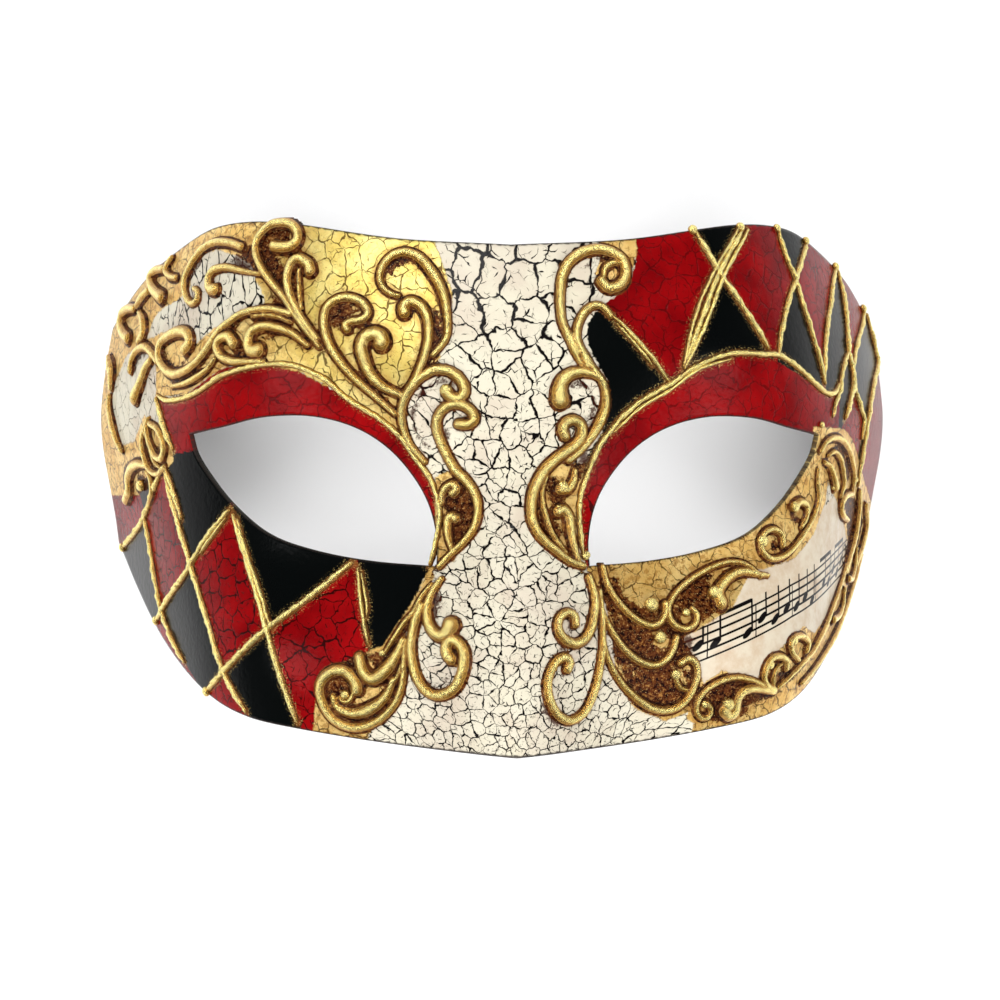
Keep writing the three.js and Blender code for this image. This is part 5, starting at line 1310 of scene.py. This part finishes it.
def gilded_ground(tree, body, flat, scroll_gap, hollow, ragged):
    """Gold leaf between the scrolls: lemon over the nose's left side as a painted highlight, amber in patches
    and further out, the outer amber as painted shade, brown at the scrolls' feet as patina and painted shade,
    brown where the scrolls crowd as painted shade, brown in the hollows, and cracks. Gives colour, brown
    share and height."""
    from_lemon = distance_from(tree, flat, LEMON_HIGHLIGHT_MIDDLE)
    # painted highlight: the lemon tint round its middle
    lemon = ramp(tree, from_lemon, 12.0, 34.0, 1.0, 0.0)
    # brown at the scrolls' feet: patina, and painted shade where the beads rise from the ground
    foot = ramp(tree, scroll_gap, 0.0, 0.7, 0.85, 0.0)
    # painted shade where the scrolls crowd, laid on as brown rub
    crowded_shade = ramp(tree, field_value(tree, "enclosed_shade"), 0.45, 0.8, 0.0, 0.35)
    brown_rub_and_shade = most(tree, plus(tree, foot, crowded_shade), ramp(tree, hollow, -0.8, 0.1, 0.0, 1.1))
    brown_rub_and_shade = plus(tree, brown_rub_and_shade, times(tree, foot, 0.5))
    leaf = use(tree, gold_leaf, {"Place": body, "Rub and shade": brown_rub_and_shade, "Lemon": lemon})
    islands = {"Place": vector(tree, "SCALE", flat, LEAF_COUNT), "Width": LEAF_CRACKS}
    cracks = use(tree, crackle_glaze, islands)["Crack"]
    cracks = times(tree, cracks, most(tree, less(tree, 0.85, leaf["Brown"]), 0.0))
    amber_stain_and_shade = ramp(tree, plus(tree, scroll_gap, ragged), 0.0, 1.5, 0.65, 0.0)
    patches = ramp(tree, grain(tree, body, 0.75, 5.0, 0.68), 0.42, 0.54, 0.8, 0.0)
    # painted shade: amber further out, towards the rim and the temples
    far_shade = ramp(tree, from_lemon, 30.0, 55.0, 0.0, 0.35)
    amber_stain_and_shade = most(tree, amber_stain_and_shade, times(tree, patches, without(tree, lemon)), far_shade)
    colour = blend(tree, leaf["Brown"], blend(tree, amber_stain_and_shade, leaf["Colour"], AMBER), leaf["Colour"])
    height = less(tree, times(tree, leaf["Height"], 0.5), cracks)
    return blend(tree, cracks, colour, LEAF_CRACK), leaf["Brown"], height


def face_lacquer():
    """The painted face: cream crackle, the music strip, the harlequin fields, the red lids and the gilded
    grounds laid over one another, with brown rubbed in beside the beads, partly stain and partly painted
    shade at their feet, all under one thin varnish."""
    finish, tree, shader = new_finish("face_lacquer")
    body = body_place(tree)
    flat = put(tree, "UVMap", uv_map="unrolled").outputs[0]
    scroll_gap, line_gap = field_value(tree, "scroll_gap"), field_value(tree, "line_gap")
    edge_noise = uneven(tree, body, 1.1, 4.0, 0.55, 1.4)
    ragged = uneven(tree, body, 0.9, 5.0, 0.75, 4.0)
    hollow = plus(tree, field_value(tree, "hollow"), ragged)

    colour, height = cream_coat(tree, body, flat)
    score = field_mask(tree, "score", edge_noise)
    colour = blend(tree, score, colour, music_paper(tree, body))
    height = blend_value(tree, score, height, 0.0)

    red, red_height = red_coat(tree, body, flat)
    diamonds = ramp(tree, field_value(tree, "diamond"), -0.1, 0.1)
    harlequin, lid = field_mask(tree, "harlequin", edge_noise), field_mask(tree, "lid", edge_noise)
    colour = blend(tree, harlequin, colour, blend(tree, diamonds, BLACK, red))
    colour = blend(tree, lid, colour, red)
    height = blend_value(tree, harlequin, height, times(tree, red_height, diamonds))
    height = blend_value(tree, lid, height, red_height)

    gilded = field_mask(tree, "gilded", times(tree, ragged, 0.4), 0.2)
    gilded = times(tree, gilded, without(tree, field_mask(tree, "cream", edge_noise, 0.25)))
    leaf_colour, leaf_brown, leaf_height = gilded_ground(tree, body, flat, scroll_gap, hollow, ragged)
    colour = blend(tree, gilded, colour, leaf_colour)
    height = blend_value(tree, gilded, height, leaf_height)

    beside = plus(tree, calc(tree, "MINIMUM", scroll_gap, line_gap), uneven(tree, body, 1.8, 4.0, 0.7, 1.6))
    bare = without(tree, gilded)
    # brown beside the beads and lines: stain, and painted shade at their feet
    colour = blend(tree, times(tree, ramp(tree, beside, -0.2, 0.35, 0.85, 0.0), bare), colour, STAIN_AND_SHADE)
    colour = blend(tree, times(tree, ramp(tree, hollow, -0.2, 0.5, 0.0, 0.9), bare), colour, DEEP_STAIN)
    flakes = ramp(tree, grain(tree, body, 3.6, 3.0, 0.7), 0.58, 0.64)
    flakes = times(tree, flakes, ramp(tree, line_gap, 0.1, 1.1, 1.0, 0.0))
    colour = blend(tree, flakes, colour, GOLD_FLAKE)
    edge_gap = plus(tree, field_value(tree, "edge_gap"), times(tree, edge_noise, 0.25))
    cut = ramp(tree, edge_gap, 0.15, 0.45, 0.9, 0.0)
    colour = blend(tree, cut, colour, CUT_DARK)

    bright = times(tree, gilded, without(tree, leaf_brown))
    metal = times(tree, most(tree, times(tree, bright, LEAF_METAL), flakes), without(tree, cut))
    leathery = times(tree, grain(tree, body, 0.8, 3.0), 0.4)
    dress(tree, shader, {"Base Color": colour, "Metallic": metal, "Specular IOR Level": VARNISH_SHINE,
                         "Roughness": blend_value(tree, metal, 0.2, 0.4)}, plus(tree, height, leathery), 0.8)
    return finish


shell.data.materials.append(face_lacquer())
shell.data.materials.append(dark_paper())

# The gilding
# Gold paint and leaf over the paste, with brown left in the creases and pits, patina with painted shade.
# Pale gold on the crowns is a painted highlight and dark amber down the flanks a painted shade. The
# drawn lines are rougher and sparkle more than the scrolls and their buds.
# painted highlight and painted shade on the beads: pale gold on their crowns, dark amber down their flanks
CROWN_HIGHLIGHT_GOLD, FLANK_SHADE_GOLD = (1.0, 0.84, 0.31, 1), (0.44, 0.20, 0.030, 1)
LINE_PITTING = 0.2


def gilding(name, pitting):
    """Metal gold where a point is high on its bead, pale there as a painted highlight, dark amber down the
    flanks as a painted shade, brown at the feet as patina and painted shade, with grain as fine as sand.
    """
    finish, tree, shader = new_finish(name)
    body, crown = body_place(tree), field_value(tree, "crown")
    # brown at the beads' feet and in creases: patina, and painted shade
    brown_rub_and_shade = plus(tree, ramp(tree, crown, 0.0, 0.45, 1.05, 0.0), pitting)
    leaf = use(tree, gold_leaf, {"Place": body, "Rub and shade": brown_rub_and_shade, "Lemon": 0.5})
    flank_shade_noise = plus(tree, uneven(tree, body, 1.1, 4.0, 0.7, 1.1), uneven(tree, body, 3.0, 3.0, 0.7, 1.1))
    # painted shade: dark amber down the flanks, its edge broken by noise
    flank_shade = ramp(tree, plus(tree, crown, flank_shade_noise), 0.3, 0.85, 0.9, 0.0)
    # painted highlight: pale gold on the crowns
    gold = blend(tree, ramp(tree, crown, 0.45, 0.9, 0.0, 0.9), leaf["Colour"], CROWN_HIGHLIGHT_GOLD)
    gold = blend(tree, flank_shade, gold, FLANK_SHADE_GOLD)
    dress(tree, shader, {"Base Color": blend(tree, leaf["Brown"], gold, leaf["Colour"]),
                         "Metallic": ramp(tree, leaf["Brown"], 0.0, 1.0, 0.88, 0.1),
                         "Roughness": ramp(tree, leaf["Brown"], 0.0, 1.0, 0.24, 0.5),
                         "Specular IOR Level": VARNISH_SHINE,
                         "Coat Weight": 0.08, "Coat Roughness": 0.12}, leaf["Height"], 0.85)
    return finish


scroll_gold = gilding("scroll_gold", 0.0)
for piece in scrolls + [buds]:
    piece.data.materials.append(scroll_gold)
lines.data.materials.append(gilding("line_gold", LINE_PITTING))

# The studio
# A pale table that the mask lies on and a room that is dim overhead and pale round the sides. The key box
# stands over the forehead, with one box at either side; two low ones send light in under the cheeks, and a
# wide one fills without glare.
CAMERA_PLACE = (-0.02373, -0.00447, 0.51943)
CAMERA_TILT = math.radians(2.8)
CAMERA_LENS = 83.16
TABLE_HALF = 3
TABLE_COLOUR, TABLE_SHADE = (0.98, 0.98, 0.98, 1), (0.96, 0.96, 0.965, 1)
SKY_COLOUR = (0.95, 0.97, 1.0, 1)
SKY_SIDES, SKY_TOP, SKY_REACH = 0.3, 0.04, 0.5
LIGHT_AIM = (0, 0, 0.06)
SOFT_BOXES = {
    "key_box": dict(place=(-0.15, 0.75, 0.95), size=0.5, power=8, glare=True),
    "left_box": dict(place=(-0.9, -0.1, 0.8), size=0.5, power=3.2, glare=True),
    "right_box": dict(place=(0.9, -0.1, 0.8), size=0.5, power=3.2, glare=True),
    "low_left_box": dict(place=(-0.4, -0.65, 0.75), size=0.35, power=5, glare=False),
    "low_right_box": dict(place=(0.4, -0.65, 0.75), size=0.35, power=5, glare=False),
    "fill_box": dict(place=(0, 0, 1.6), size=1.6, power=11, glare=False),
}


def table_finish():
    """Matte pale board with a slight unevenness of tone."""
    finish, tree, shader = new_finish("pale_board")
    tone = grain(tree, put(tree, "TexCoord").outputs["Object"], 3.0)
    feed(tree, shader.inputs["Base Color"], blend(tree, tone, TABLE_COLOUR, TABLE_SHADE))
    shader.inputs["Roughness"].default_value = 0.85
    return finish


table_mesh = bpy.data.meshes.new("table")
corners = [(x * TABLE_HALF, y * TABLE_HALF, 0) for x, y in ((-1, -1), (1, -1), (1, 1), (-1, 1))]
table_mesh.from_pydata(corners, [], [(0, 1, 2, 3)])
table_mesh.materials.append(table_finish())
table = bpy.data.objects.new("table", table_mesh)
bpy.context.scene.collection.objects.link(table)

sky = bpy.data.worlds.new("soft_sky")
sky.use_nodes = True
upward = put(sky.node_tree, "SeparateXYZ",
             {0: put(sky.node_tree, "TexCoord").outputs["Generated"]}).outputs[2]
background = sky.node_tree.nodes["Background"]
background.inputs["Color"].default_value = SKY_COLOUR
strength = ramp(sky.node_tree, upward, 0.0, SKY_REACH, SKY_SIDES, SKY_TOP)
feed(sky.node_tree, background.inputs["Strength"], strength)
bpy.context.scene.world = sky

for name, box in SOFT_BOXES.items():
    light = bpy.data.lights.new(name, "AREA")
    light.shape = "DISK"
    light.size = box["size"]
    light.energy = box["power"]
    lamp = bpy.data.objects.new(name, light)
    lamp.location = box["place"]
    lamp.rotation_euler = (Vector(LIGHT_AIM) - lamp.location).to_track_quat("-Z", "Y").to_euler()
    lamp.visible_glossy = box["glare"]
    bpy.context.scene.collection.objects.link(lamp)

camera_data = bpy.data.cameras.new("camera")
camera_data.lens = CAMERA_LENS
camera_data.sensor_width = 36
camera = bpy.data.objects.new("camera", camera_data)
camera.location = CAMERA_PLACE
camera.rotation_euler = (0, -CAMERA_TILT, 0)
bpy.context.scene.collection.objects.link(camera)
bpy.context.scene.camera = camera
bpy.context.scene.view_settings.view_transform = "Standard"
